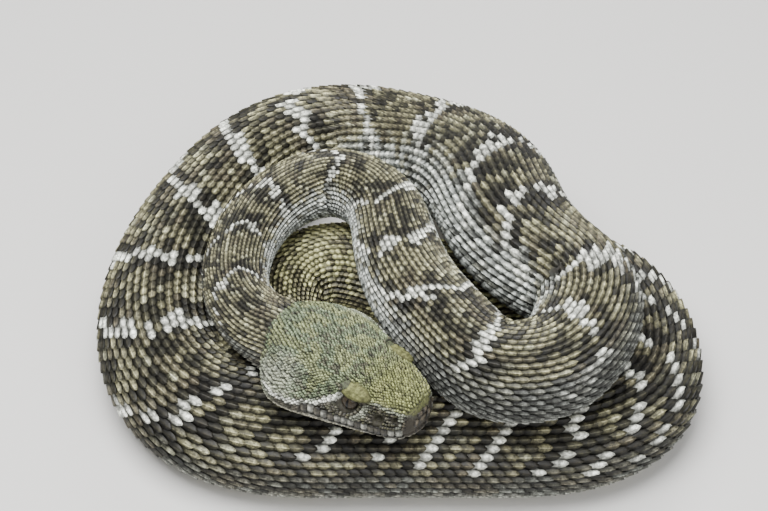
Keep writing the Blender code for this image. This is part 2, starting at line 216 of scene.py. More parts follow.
# Half the floor's width, mm
FLOOR_REACH = 3000.0

BODY_NODES = ["head", "lower_jaw", "neck"] + [f"torso_{n + 1}" for n in range(9)] + ["tail"]


def linear(red, green, blue):
    """A colour given from 0 to 255 as seen on screen, as the values that a shader takes."""
    seen = np.array([red, green, blue]) / 255
    return np.where(seen <= 0.04045, seen / 12.92, ((seen + 0.055) / 1.055) ** 2.4)


# The snake's colours
PALE = linear(240, 242, 230)
NEAR_BLACK = linear(15, 14, 11)
BROWN = linear(74, 69, 55)
OLIVE = linear(124, 121, 93)
# Painted highlight: pale flecks that stand for keels catching the light
HIGHLIGHT_FLECK = linear(172, 171, 142)
FLANK = linear(92, 94, 88)
# Painted shade: flank colour for the shaded outer side of the hairpin
SHADED_FLANK = linear(88, 90, 86)
LOW_FLANK = linear(132, 134, 128)
# Pale flank of the loops' inner sides, brightened further as painted light
PALE_LIT_INNER_FLANK = linear(206, 211, 204)
BELLY = linear(190, 187, 168)
# Yellowish colour of the length seen in the hole, brightened as painted light
BRIGHTENED_YELLOWISH = linear(196, 194, 142)
CROWN = linear(106, 118, 90)
CROWN_PATCH = linear(136, 138, 90)
SNOUT = linear(116, 120, 72)
BROW = linear(104, 105, 68)
FACE_BAND = linear(48, 44, 35)
LIP = linear(92, 88, 78)
NAPE = linear(150, 154, 138)
ROSTRAL = linear(74, 67, 55)
TAIL_BLACK = linear(22, 21, 19)
TAIL_PALE = linear(176, 178, 172)
KERATIN = linear(156, 132, 92)
KERATIN_GROOVE = linear(66, 50, 32)


def natural_cubic(knots, values):
    """Return a function that reads the natural cubic spline through values at any knot position."""
    knots = np.asarray(knots, float)
    values = np.asarray(values, float)
    count = len(knots)
    gap = np.diff(knots)
    matrix = np.eye(count)
    right = np.zeros_like(values)
    for i in range(1, count - 1):
        matrix[i, i - 1:i + 2] = gap[i - 1], 2 * (gap[i - 1] + gap[i]), gap[i]
        right[i] = 6 * ((values[i + 1] - values[i]) / gap[i] - (values[i] - values[i - 1]) / gap[i - 1])
    bend = np.linalg.solve(matrix, right)

    def read(at):
        at = np.asarray(at, float)
        i = np.clip(np.searchsorted(knots, at) - 1, 0, count - 2)
        width = gap[i][:, None]
        left = (knots[i + 1] - at)[:, None]
        ahead = (at - knots[i])[:, None]
        curve = (bend[i] * left ** 3 + bend[i + 1] * ahead ** 3) / (6 * width)
        line = (values[i] / width - bend[i] * width / 6) * left
        return curve + line + (values[i + 1] / width - bend[i + 1] * width / 6) * ahead

    return read


def run_length(points):
    """Distance along a row of points, from its first one."""
    return np.r_[0, np.cumsum(np.linalg.norm(np.diff(points, axis=0), axis=1))]


def unit(vectors):
    return vectors / np.maximum(np.linalg.norm(vectors, axis=-1, keepdims=True), 1e-12)


def smooth(low, high, value):
    """From 0 at low to 1 at high, with soft ends."""
    share = np.clip((np.asarray(value, float) - low) / (high - low), 0, 1)
    return share * share * (3 - 2 * share)


def chance(first, second=0.0, third=0.0):
    """The same number from 0 to 1 each time for the same three numbers."""
    mixed = np.sin(np.asarray(first) * 12.9898 + np.asarray(second) * 78.233 + third * 37.719) * 43758.5453
    return mixed - np.floor(mixed)


def cloud(first, second, seed):
    """Soft patches of values from 0 to 1, about a unit across."""
    i, j = np.floor(first), np.floor(second)
    a, b = smooth(0, 1, first - i), smooth(0, 1, second - j)
    near = chance(i, j, seed) * (1 - b) + chance(i, j + 1, seed) * b
    far = chance(i + 1, j, seed) * (1 - b) + chance(i + 1, j + 1, seed) * b
    return near * (1 - a) + far * a


def mix(first, second, share):
    share = np.asarray(share, float)[..., None]
    return first * (1 - share) + second * share


def layered(colour, *layers):
    """Lay colours over the first one in turn, each by its own share."""
    for tone, share in layers:
        colour = mix(colour, tone, share)
    return colour


def mirrored(local, sides):
    """Points given on the left side, each carried to its own side."""
    return local * np.column_stack([np.ones(len(local)), sides, np.ones(len(local))])


def head_round(count):
    """Shares of the way down the left side and up the right for a ring of points, and the side of each."""
    half = np.linspace(0, 1, count // 2 + 1)
    return np.r_[half, half[-2:0:-1]], np.r_[np.ones(len(half)), -np.ones(len(half) - 2)]


def band(first, second, count):
    """Faces between two closed rings of points, given the number of each ring's first point."""
    ends = [(j, (j + 1) % count) for j in range(count)]
    return [(first + j, first + k, second + k, second + j) for j, k in ends]


def line_distance(points, line):
    """Distance of each flat point from a bent line."""
    line = np.array(line, float)
    best = np.full(len(points), 1e9)
    for start, end in zip(line[:-1], line[1:]):
        way = end - start
        share = np.clip(((points - start) @ way) / (way @ way), 0, 1)
        best = np.minimum(best, np.linalg.norm(points - start - share[:, None] * way, axis=1))
    return best


class Body:
    """Where the snake's belly runs and how thick it is, by distance in mm from the snout."""

    def __init__(self):
        points = np.array(ROUTE, float) - np.array(COIL_MIDDLE)
        chord = run_length(points)
        self.places = natural_cubic(chord, points)(np.linspace(0, chord[-1], ROUTE_SAMPLES))
        self.places[:, 2] = np.maximum(self.places[:, 2], 0)
        self.run = run_length(self.places)
        self.length = self.run[-1]
        self.tangent = unit(np.gradient(self.places, self.run, axis=0))
        girth = np.array(GIRTH, float)
        self.girth = natural_cubic(girth[:, 0], girth[:, 1:])
        heading = np.unwrap(np.arctan2(self.tangent[:, 1], self.tangent[:, 0]))
        self.turn = np.gradient(heading, self.run)
        steps = np.linspace(HEAD_LENGTH, self.length, ROUTE_SAMPLES)
        counted = np.r_[0, np.cumsum(np.diff(steps) / self.pitch(steps[:-1]))]
        self.station_at = lambda count: np.interp(count, counted, steps)
        self.stations = int(counted[-1])

    def frame(self, s):
        """Belly point and the directions to the tail, the snake's left and its back."""
        place = np.array([np.interp(s, self.run, self.places[:, k]) for k in range(3)]).T
        aft = unit(np.array([np.interp(s, self.run, self.tangent[:, k]) for k in range(3)]).T)
        left = unit(np.cross(aft, [0, 0, 1.0]))
        return place, aft, left, np.cross(left, aft)

    def frame_at(self, s):
        """The same for one distance."""
        return [part[0] for part in self.frame(np.array([s]))]

    def pitch(self, s):
        """Distance from one scale to the next along the body."""
        return np.maximum(PITCH_SHARE * self.girth(s)[:, 0], LEAST_PITCH)

    def row_pitch(self, s):
        """Distance from one row of scales to the next, round the body."""
        return np.maximum(ROW_SHARE * self.girth(s)[:, 0], LEAST_ROW)

    def depth(self, s):
        """How far the skin lies inside the solids."""
        return DEPTH_SHARE * self.girth(s)[:, 0]

    def reach(self, s):
        """Half widths to the left and to the right, less inside a tight bend, and half height."""
        width, height = self.girth(s).T
        turn = np.interp(s, self.run, self.turn)
        room = SQUEEZE / np.maximum(np.abs(turn), 1e-6)
        left = np.where(turn < 0, np.minimum(width, room), width)
        right = np.where(turn > 0, np.minimum(width, room), width)
        return left, right, height

    def surface(self, s, angle, depth):
        """Points and outward directions at an angle round the body, a depth inside the solids."""
        place, aft, left, up = self.frame(s)
        left_reach, right_reach, height = self.reach(s)
        cosine, sine = np.cos(angle), np.sin(angle)
        reach = np.where(cosine > 0, left_reach, right_reach) - depth
        tall = height - depth
        rise = math.sin(BELLY_ANGLE) * height + sine * tall
        point = place + left * (cosine * reach)[:, None] + up * rise[:, None]
        outward = unit(left * (cosine * tall)[:, None] + up * (sine * reach)[:, None])
        return point, outward, aft

    def belly(self, s, share, depth):
        """Points on the flat of the belly, share from -1 on the right to 1 on the left."""
        place, _, left, up = self.frame(s)
        left_reach, right_reach, _ = self.reach(s)
        out = share * (np.where(share > 0, left_reach, right_reach) - depth) * math.cos(BELLY_ANGLE)
        return place + left * out[:, None] + up * (math.sin(BELLY_ANGLE) * depth)[:, None]

    def arcs(self, s, side):
        """Angles down one side from the back to the belly, the distance along it to each, and half
        the width of the belly's flat."""
        steps = np.linspace(math.pi / 2, -BELLY_ANGLE, 61)
        left_reach, right_reach, height = self.reach(np.array([s]))
        reach = left_reach[0] if side > 0 else right_reach[0]
        outline = np.stack([np.cos(steps) * reach, np.sin(steps) * height[0]], axis=1)
        return steps, run_length(outline), math.cos(BELLY_ANGLE) * reach

    def ring(self, s, count, depth):
        """A closed ring of evenly spaced points, from the middle of the back by the left side, and
        the row of scales at each."""
        points = []
        rows = []
        for side in (1, -1):
            steps, run, flat = self.arcs(s, side)
            total = run[-1] + flat
            want = np.linspace(0, total, count // 2 + 1)
            angle = np.interp(want, run, steps)
            angle = angle if side > 0 else math.pi - angle
            station = np.full(len(want), float(s))
            inset = np.full(len(want), float(depth))
            place = self.surface(station, angle, inset)[0]
            across = np.clip((total - want) / flat, 0, 1) * side
            low = self.belly(station, across, inset)
            half = np.where((want > run[-1])[:, None], low, place)
            row = want / self.row_pitch(np.array([s]))[0]
            points.append(half if side > 0 else half[-2:0:-1])
            rows.append(row if side > 0 else -row[-2:0:-1])
        return np.vstack(points), np.concatenate(rows)


def head_outline(station):
    """Half of a head section, out and up, from the middle of the top to the middle of the chin."""
    forward, brow, brow_z, lip, lip_z, top, mouth, jaw, chin = station
    face = lip - brow
    drop = brow_z - lip_z
    return [
        (0.0, top),
        (0.42 * brow, top - 0.08 * (top - brow_z)),
        (0.78 * brow, top - 0.42 * (top - brow_z)),
        (brow, brow_z),
        (brow + 0.22 * face, brow_z - 0.34 * drop),
        (brow + 0.72 * face, brow_z - 0.68 * drop),
        (lip, lip_z),
        (lip - 0.35, mouth),
        (jaw, mouth - 1.7),
        (0.80 * jaw, chin + 0.25 * (mouth - chin)),
        (0.42 * jaw, chin + 0.03 * (mouth - chin)),
        (0.0, chin),
    ]


class Head:
    """The head's surface, by distance forward from its back and share of the way down one side."""

    def __init__(self, body):
        self.body = body
        table = np.array(HEAD_STATIONS, float)
        stations = natural_cubic(np.arange(len(table)), table)(np.linspace(0, len(table) - 1, HEAD_SAMPLES))
        halves = []
        for station in stations:
            outline = np.array(head_outline(station))
            chord = run_length(outline)
            half = natural_cubic(chord, outline)(np.linspace(0, chord[-1], HEAD_ROUND))
            half[0, 0] = half[-1, 0] = 0.0
            halves.append(half)
        self.forward = stations[:, 0]
        self.half = np.array(halves)
        self.girth = np.linalg.norm(np.diff(self.half, axis=1), axis=2).sum(axis=1)

    def local(self, forward, share):
        """Forward, out and up of the surface on the left side."""
        row = np.interp(forward, self.forward, np.arange(HEAD_SAMPLES))
        column = np.clip(share, 0, 1) * (HEAD_ROUND - 1)
        i = np.clip(row.astype(int), 0, HEAD_SAMPLES - 2)
        j = np.clip(column.astype(int), 0, HEAD_ROUND - 2)
        a, b = (row - i)[:, None], (column - j)[:, None]
        near = self.half[i, j] * (1 - b) + self.half[i, j + 1] * b
        far = self.half[i + 1, j] * (1 - b) + self.half[i + 1, j + 1] * b
        section = near * (1 - a) + far * a
        return np.column_stack([forward, section])

    def world(self, local):
        """Carry points given forward, out to the left and up from the back of the head."""
        local = local * HEAD_SCALE
        place, aft, left, up = self.body.frame(np.clip(HEAD_LENGTH - local[:, 0], 0, None))
        ahead = np.maximum(local[:, 0:1] - HEAD_LENGTH, 0)
        return place - aft * ahead + left * local[:, 1:2] + up * local[:, 2:3]

    def placed(self, forward, share, side):
        """World points, outward directions, directions to the tail and the local places."""
        def world_at(forward, share):
            return self.world(mirrored(self.local(forward, share), side))

        step, round_step = 0.4, 0.008
        ahead = world_at(np.minimum(forward + step, HEAD_DRAWN - 0.1), share)
        behind = world_at(np.maximum(forward - step, 0.0), share)
        lower = world_at(forward, np.minimum(share + round_step, 1.0))
        upper = world_at(forward, np.maximum(share - round_step, 0.0))
        aft = unit(behind - ahead)
        outward = unit(np.cross(aft, lower - upper)) * -np.asarray(side, float)[:, None]
        return world_at(forward, share), outward, aft, self.local(forward, share)

    def axes(self, middle, side):
        """A point of the head on one side, with the directions aft, left and up there."""
        forward, out, up = np.array(middle) * HEAD_SCALE
        place, aft, left, above = self.body.frame_at(HEAD_LENGTH - forward)
        return place + left * out * side + above * up, aft, left, above

    def side_share(self, forward, height):
        """Share of the way down at which the side of the head stands at a height."""
        shares = np.linspace(0.2, 0.97, 160)
        found = []
        for x, z in zip(forward, height):
            heights = self.local(np.full(len(shares), x), shares)[:, 2]
            found.append(shares[np.argmin(np.abs(heights - z))])
        return np.array(found)


def mouth_height(forward):
    """Height of the mouth line at a distance forward from the head's back."""
    line = np.array(MOUTH_LINE[::-1], float)
    return np.interp(forward, line[:, 0], line[:, 1])


def chain_places(s, row, pitch):
    """Which scales are pale, and the distances of every scale from the two chains beside it."""
    cell = np.round(row)
    row = row * PATTERN_ROW
    side = np.abs(row)
    chains = np.array(CHAINS, float)
    swept = s + CHAIN_BEND * side ** 2
    gaps = swept[:, None] - chains[:, 0] - chains[:, 1] * row[:, None]
    order = np.argsort(np.abs(gaps), axis=1)
    number = order[:, 0]
    gap = np.take_along_axis(gaps, order[:, :1], axis=1)[:, 0]
    other = np.take_along_axis(gaps, order[:, 1:2], axis=1)[:, 0]
    gap = gap - CHAIN_WANDER * np.sin(row * 0.9 + 6.28 * chance(number, 2))
    lean = np.where(chance(number, 3) > 0.5, 1.0, -1.0)
    reach = CHAIN_REACH + 2.4 * (chance(number, np.sign(row), 10) - 0.5)
    raised = s < RAISED_END
    chain = np.abs(gap) < np.where(raised, *CHAIN_HALF_WIDTH) * pitch
    chain &= (side < reach) & (chance(number, cell, 6) < np.where(raised, *CHAIN_FILL))
    second = (np.abs(gap - lean * 1.25 * pitch) < 0.5 * pitch) & (side < 8.2) & raised
    second &= chance(number, np.floor(cell / 2), 4) < 0.30
    branch = np.abs(gap + lean * (side - 5.0) * 1.6) < 0.48 * pitch
    branch &= (side > 5.0) & (side < 9.4) & (chance(number, cell, 5) < 0.4) & raised
    return chain | second | branch, np.abs(gap), np.abs(other)


def body_marking(s, row, body, settings):
    """The back's dark diamonds, pale chains of scales between them, flanks and ringed tail, with painted
    light and shade laid over them.
    """
    cell = np.round(row)
    pitch = body.pitch(s)
    pale, gap, other = chain_places(s, row, pitch)
    row = row * PATTERN_ROW
    side = np.abs(row)
    random = chance(np.round(s * 2.0), cell, 7)
    patch = cloud(s / 7.0, row / 1.6, 12)
    worn = patch * 0.5 + random * 0.5

    beside = 1 - smooth(1.2, 3.4, gap / pitch)
    olive = 0.75 - 0.35 * beside + (patch - 0.5) * 1.2 + (random - 0.5) * 0.8
    blot = cloud(s / 3.6 + 40, row / 0.95, 13) + 0.10 * (random - 0.5)
    # Painted highlight: a few scales inside the diamonds are lightened, as keels catching the light
    fleck = chance(np.round(s * 2.7), cell, 8) > 0.88
    back = layered(
        mix(BROWN, OLIVE, np.clip(olive, 0, 1)),
        (NEAR_BLACK, 0.88 * smooth(0.0, 0.09, blot - 0.61 + 0.21 * beside)),
        (HIGHLIGHT_FLECK, 0.5 * fleck * (1 - beside)),
    )
    spot = (other - gap < 1.6 * pitch) & (side > 8.4) & (side < 10.8)
    flank = layered(
        mix(FLANK, BROWN, 0.8 * smooth(0.35, 0.7, worn)),
        (NEAR_BLACK, 0.7 * spot),
        (LOW_FLANK, 0.75 * smooth(9.2, 12.4, side + 1.5 * (random - 0.5))),
    )
    colour = mix(back, flank, smooth(FLANK_ROW - 0.8, FLANK_ROW + 1.2, side + 1.4 * (random - 0.5)))

    # The inner sides of the raised loops are pale, and are painted paler still as painted light where the
    # loops shade them
    inner = np.where(row > 0, 1 - smooth(235, 290, s), smooth(180, 230, s) * (1 - smooth(450, 540, s)))
    low = 4.8 - 1.4 * smooth(300, 350, s)
    inner = inner * smooth(66, 84, s) * smooth(low, low + 2.6, side + 1.6 * (random - 0.5))
    # Painted shade: the outer side of the hairpin, turned from the overhead light, is painted a duller grey
    # brown
    hairpin_shade = smooth(250, 290, s) * (1 - smooth(400, 450, s)) * (row > 0) * smooth(4.4, 6.6, side)
    colour = mix(colour, PALE_LIT_INNER_FLANK, inner * np.where(random > 0.25, 0.88, 0.2))
    colour = mix(colour, SHADED_FLANK, 0.8 * hairpin_shade)

    # Painted light and shade on the neck: alternate rows of scales are painted lighter and darker, as lit
    # keels and shade between the rows
    neck = smooth(62, 80, s) * (1 - smooth(170, 235, s))
    row_light_and_shade = np.where(cell % 2 == 0, 1.15, 0.70)
    colour = colour * (1 + neck * (row_light_and_shade - 1))[:, None]

    # The length seen in the loop's hole is yellowish, painted brighter as painted light against the shade of
    # the loops round it, and the tail is ringed
    yellow = smooth(900, 950, s) * (1 - smooth(VENT - 12, VENT, s))
    # The pale chains are weaker near the head and in the yellowish length, and dimmed by the painted shade
    # on the hairpin's outer side
    strength = (0.65 + 0.35 * smooth(95, 190, s)) * (1 - 0.95 * yellow) * (1 - 0.75 * hairpin_shade)
    ring = np.mod((s - VENT) / settings.tail_ring, 1.0)
    black = smooth(0.46, 0.52, ring) * (1 - smooth(0.95, 1, ring))
    colour = layered(
        colour,
        (mix(BRIGHTENED_YELLOWISH, BROWN, 0.9 * smooth(0.50, 0.68, worn)), 0.9 * yellow),
        (PALE, strength * pale * (0.75 + 0.25 * random)),
        (BELLY, 0.75 * smooth(12.3, 13.4, side)),
        (mix(TAIL_PALE, TAIL_BLACK, black), smooth(VENT - 2, VENT + 2, s)),
    )
    return colour * (0.62 + 0.76 * chance(np.round(s * 3.0), cell, 9))[:, None]


def head_marking(local):
    """Olive crown with dark flecks, and a dark band through the eye under a thin pale stripe."""
    forward, out, up = local.T
    out = np.abs(out)
    random = chance(np.round(forward * 1.7), np.round(out * 1.9), 11)
    patch = cloud(forward / 3.2, out / 3.2, 14)
    flat = np.column_stack([forward, up])
    over_mouth = up - mouth_height(forward)
    brow = np.interp(forward, *np.array(HEAD_STATIONS, float)[:, [0, 2]].T)
    edge = np.interp(forward, *np.array(REAR_STRIPE[::-1]).T)
    behind = smooth(-0.4, 0.6, edge - up) * smooth(8, 14, forward) * (1 - smooth(32, 34, forward))
    face = smooth(0.9, 1.8, brow - up) * smooth(31, 33, forward)
    cheek = np.maximum(behind, face)
    rear = 1 - smooth(0.55, 0.95, line_distance(flat, REAR_STRIPE))
    front = 1 - smooth(0.8, 1.5, line_distance(flat, FRONT_STRIPE))
    # Painted highlight: a pale line just under the snout's upper edge, in front of the eye
    edge_highlight = 1 - smooth(0.45, 1.0, np.abs(brow - up - 0.9))
    lip = 1 - smooth(1.8, 3.0, over_mouth)
    corner = 1 - smooth(0.3, 0.9, np.abs(forward - 52.2))
    colour = layered(
        mix(CROWN, SNOUT, smooth(26, 42, forward + 5 * (patch - 0.5))),
        (BROWN, 0.75 * (random + 0.5 * patch < 0.42) * (1 - smooth(34, 44, forward))),
        (CROWN_PATCH, 0.5 * (patch > 0.60)),
        (NAPE, 0.75 * smooth(11, 17, out) * (1 - smooth(12, 22, forward))),
        (FACE_BAND, 0.88 * cheek),
        (LIP, 0.55 * cheek * (random > 0.6)),
        (PALE, 0.92 * rear * smooth(5, 10, forward) * (0.6 + 0.4 * random)),
        (NAPE, 0.7 * front * face),
        # Painted highlight along the snout's upper edge
        (NAPE, 0.8 * edge_highlight * smooth(41, 44, forward)),
        (LIP, 0.7 * lip * smooth(16, 22, forward)),
        (ROSTRAL, 0.8 * smooth(51.5, 53.5, forward) * (1 - smooth(13.8, 15.0, up))),
        (NAPE, 0.55 * corner * smooth(7.5, 9, up) * (1 - smooth(15, 16.5, up))),
        (BELLY, 0.8 * (1 - smooth(-1.5, 0.5, over_mouth + 1.2))),
    )
    return colour * (0.72 + 0.56 * chance(np.round(forward * 2.3), np.round(out * 2.1), 12))[:, None]


def mesh_object(name, points, faces, smooth_shaded=True):
    """An object at the origin from points in mm."""
    mesh = bpy.data.meshes.new(name)
    mesh.from_pydata((np.asarray(points) * MM).tolist(), [], faces)
    if smooth_shaded and faces:
        mesh.shade_smooth()
    made = bpy.data.objects.new(name, mesh)
    bpy.context.scene.collection.objects.link(made)
    return made


def store(mesh, name, kind, domain, values):
    """Write one named attribute of a mesh."""
    field = {"FLOAT_COLOR": "color", "FLOAT_VECTOR": "vector", "FLOAT2": "vector"}[kind]
    attribute = mesh.attributes.new(name, kind, domain)
    attribute.data.foreach_set(field, np.asarray(values, np.float32).ravel())


def store_colour(mesh, colours):
    store(mesh, "marking", "FLOAT_COLOR", "POINT", np.column_stack([colours, np.ones(len(colours))]))


def store_map(mesh, name, places):
    """Write a UV map from one place for each vertex."""
    corners = np.empty(len(mesh.loops), np.int32)
    mesh.loops.foreach_get("vertex_index", corners)
    layer = mesh.uv_layers.new(name=name)
    layer.data.foreach_set("uv", np.asarray(places, np.float32)[corners].ravel())


def face_directions_out(piece):
    """Turn a closed mesh's faces outwards."""
    shape = bmesh.new()
    shape.from_mesh(piece.data)
    bmesh.ops.recalc_face_normals(shape, faces=shape.faces)
    shape.to_mesh(piece.data)
    shape.free()


def closed_piece(name, points, faces):
    """An object whose faces all point outwards."""
    piece = mesh_object(name, points, faces)
    face_directions_out(piece)
    return piece


def ride(piece, slot, *nodes, material=None):
    """Give a finished piece its material and hand it to the frame."""
    if material:
        piece.data.materials.append(material)
    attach(piece, "root")
    if nodes:
        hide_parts(*nodes)


class Nodes:
    """Short calls for building a node tree."""

    def __init__(self, tree):
        self.tree = tree

    def fill(self, node, inputs):
        """Link or set each input."""
        for key, value in inputs.items():
            if isinstance(value, bpy.types.NodeSocket):
                self.tree.links.new(value, node.inputs[key])
            else:
                node.inputs[key].default_value = value

    def add(self, kind, inputs=None, **settings):
        node = self.tree.nodes.new(kind)
        for key, value in settings.items():
            setattr(node, key, value)
        self.fill(node, inputs or {})
        return node

    def math(self, operation, first, second=0.0, third=0.0):
        return self.add("ShaderNodeMath", {0: first, 1: second, 2: third}, operation=operation).outputs[0]

    def product(self, first, second):
        return self.math("MULTIPLY", first, second)

    def blend(self, factor, first, second, mode="MIX"):
        inputs = {0: factor, 6: first, 7: second}
        return self.add("ShaderNodeMix", inputs, data_type="RGBA", blend_type=mode).outputs[2]

    def ramp(self, value, low, high):
        inputs = {"Value": value, "From Min": low, "From Max": high}
        return self.add("ShaderNodeMapRange", inputs, interpolation_type="SMOOTHSTEP").outputs[0]

    def noise(self, place, scale, detail=3.0):
        inputs = {"Vector": place, "Scale": scale, "Detail": detail}
        return self.add("ShaderNodeTexNoise", inputs).outputs["Fac"]

    def marked(self):
        """Places on the object, and the colour of its marking."""
        place = self.add("ShaderNodeTexCoord").outputs["Object"]
        return place, self.add("ShaderNodeAttribute", attribute_name="marking").outputs["Color"]

    def dress(self, shader, colour, height, strength, distance):
        """Give a shader its colour and a fine relief."""
        relief = self.add("ShaderNodeBump", {"Strength": strength, "Distance": distance, "Height": height})
        self.fill(shader, {"Base Color": colour, "Normal": relief.outputs["Normal"]})


def new_material(name, roughness, specular=0.5, coat=0.0):
    material = bpy.data.materials.new(name)
    material.use_nodes = True
    nodes = Nodes(material.node_tree)
    shader = material.node_tree.nodes["Principled BSDF"]
    nodes.fill(shader, {"Roughness": roughness, "Specular IOR Level": specular, "Coat Weight": coat})
    return material, nodes, shader


def scale_material(name, keel, speckling, roughness):
    """Dry horn: the scale's marking with a painted highlight along its keel, painted shade at its rim and
    root, and darker towards its tip.
    """
    material, nodes, shader = new_material(name, roughness, 0.35)
    place, colour = nodes.marked()
    light = nodes.ramp(nodes.add("ShaderNodeRGBToBW", {0: colour}).outputs[0], 0.25, 0.5)
    lay = nodes.add("ShaderNodeUVMap", uv_map="lay").outputs["UV"]
    parts = nodes.add("ShaderNodeSeparateXYZ", {0: lay})
    across = nodes.math("ABSOLUTE", nodes.math("SUBTRACT", parts.outputs["X"], 0.5))
    along = parts.outputs["Y"]
    # Painted shade at the rim, between the rows, and at the root, under the scale in front
    rim = nodes.math("MULTIPLY_ADD", nodes.ramp(across, 0.16, 0.42), -0.80, 1.0)
    root = nodes.math("MULTIPLY_ADD", nodes.ramp(along, 0.66, 0.40), -0.60, 1.0)
    # Darker towards the tip, more so on dark scales
    fade = nodes.math("MULTIPLY_ADD", light, 0.20, -0.55)
    tip = nodes.math("MULTIPLY_ADD", nodes.ramp(along, 0.80, 1.0), fade, 1.0)
    # Painted highlight along the keel, strongest on dark scales
    keel_highlight = nodes.math("MULTIPLY_ADD", light, -keel, keel)
    ridge = nodes.math("MULTIPLY_ADD", nodes.ramp(across, 0.08, 0.015), keel_highlight, 1.0)
    tone = nodes.product(nodes.product(rim, root), nodes.product(tip, ridge))
    fine = nodes.noise(place, 2200.0)
    middle = nodes.noise(place, 700.0)
    specks = nodes.product(nodes.ramp(fine, 0.50, 0.66), speckling)
    specks = nodes.product(specks, nodes.math("MULTIPLY_ADD", light, -0.6, 1.0))
    grain_tone = nodes.math("MULTIPLY_ADD", nodes.ramp(middle, 0.34, 0.66), 1.0, 0.45)
    colour = nodes.blend(1.0, colour, nodes.product(tone, grain_tone), "MULTIPLY")
    colour = nodes.blend(specks, colour, (0.012, 0.011, 0.008, 1))
    height = nodes.math("ADD", fine, nodes.product(middle, 1.5))
    nodes.dress(shader, colour, height, 0.4, 0.0002)
    nodes.fill(shader, {"Roughness": nodes.math("MULTIPLY_ADD", middle, 0.25, roughness - 0.12)})
    return material


def brow_material():
    """The plate over the eye: rippled horn, yellow-olive with fine dark specks."""
    material, nodes, shader = new_material("brow_plate", 0.75, 0.12)
    place, colour = nodes.marked()
    fine = nodes.noise(place, 2200.0)
    middle = nodes.noise(place, 650.0)
    tone = nodes.math("MULTIPLY_ADD", nodes.ramp(middle, 0.3, 0.7), 0.9, 0.5)
    colour = nodes.blend(1.0, colour, tone, "MULTIPLY")
    colour = nodes.blend(nodes.product(nodes.ramp(fine, 0.5, 0.66), 0.6), colour, (0.04, 0.034, 0.02, 1))
    nodes.dress(shader, colour, middle, 0.5, 0.0003)
    return material


# Roughness and specular level, the clouds' scale and detail, where a cloud starts and is full and how
# strong it is, its colour, and the strength and height of the relief, m
CLOUDED = {
    "skin_between_scales": (
        (0.7, 0.3), (1200.0, 3.0), (0.4, 0.75, 1.0), (0.02, 0.017, 0.013, 1), (0.5, 0.0003),
    ),
    "belly_scute": ((0.42, 0.45), (180.0, 4.0), (0.5, 0.72, 0.55), (0.12, 0.10, 0.075, 1), (0.12, 0.0002)),
    "rattle_horn": ((0.42, 0.45), (900.0, 5.0), (0.5, 0.75, 0.5), (0.10, 0.065, 0.035, 1), (0.3, 0.0002)),
}


def clouded_material(name):
    """The piece's own marking under dark clouds: folded skin, smooth belly plates or worn horn."""
    gloss, noise, (low, high, strength), dark, relief = CLOUDED[name]
    material, nodes, shader = new_material(name, *gloss)
    place, colour = nodes.marked()
    clouds = nodes.noise(place, *noise)
    share = nodes.product(nodes.ramp(clouds, low, high), strength)
    nodes.dress(shader, nodes.blend(share, colour, dark), clouds, *relief)
    return material


def eye_material():
    """A gold-brown iris painted near black as painted shade of the brow over the eye, with dark flecks and
    an upright slit, under a clear fixed scale.
    """
    material, nodes, shader = new_material("eye_surface", 0.30, 0.15, 0.12)
    gaze = nodes.add("ShaderNodeAttribute", attribute_name="gaze").outputs["Vector"]
    parts = nodes.add("ShaderNodeSeparateXYZ", {0: gaze}).outputs

    def squares(width, height):
        """Sum of the squares of the places across and up, each against its own size."""
        wide = nodes.math("POWER", nodes.math("DIVIDE", parts["X"], width), 2.0)
        tall = nodes.math("POWER", nodes.math("DIVIDE", parts["Y"], height), 2.0)
        return nodes.math("ADD", wide, tall)

    pupil = nodes.ramp(squares(0.15, 0.60), 1.15, 0.85)
    radius = nodes.math("SQRT", squares(1.0, 1.0))
    fleck = nodes.ramp(nodes.noise(gaze, 14.0, 5.0), 0.45, 0.62)
    # Painted shade: the iris colours are near black, standing for the brow's shadow over the eye
    iris = nodes.blend(fleck, (0.034, 0.026, 0.016, 1), (0.010, 0.008, 0.006, 1))
    outer = nodes.blend(nodes.ramp(radius, 0.62, 0.92), iris, (0.012, 0.010, 0.008, 1))
    colour = nodes.blend(pupil, outer, (0.003, 0.003, 0.003, 1))
    nodes.fill(shader, {"Base Color": colour, "Coat Roughness": 0.04})
    return material


# Each kind of scale: its outline from the root to the tip as distance along, half width and height,
# then the height of its keel, how high it is crowned, and the ridge's share of the width
SCALE_KINDS = {
    "keeled_scale": (
        [(0.0, 0.26, -0.15), (0.25, 0.43, 0.20), (0.55, 0.49, 0.48), (0.82, 0.36, 0.68), (1.0, 0.08, 0.70)],
        1.0, 0.55, 0.22,
    ),
    "granule": (
        [(0.0, 0.24, -0.2), (0.25, 0.43, 0.40), (0.55, 0.48, 0.75), (0.82, 0.36, 0.92), (1.0, 0.12, 0.80)],
        0.7, 0.8, 0.5,
    ),
    "plate": (
        [(0.0, 0.38, -0.1), (0.14, 0.48, 0.55), (0.5, 0.50, 0.80), (0.86, 0.48, 0.75), (1.0, 0.40, 0.35)],
        0.10, 0.7, 0.5,
    ),
}
RIM_DEPTH = 0.30


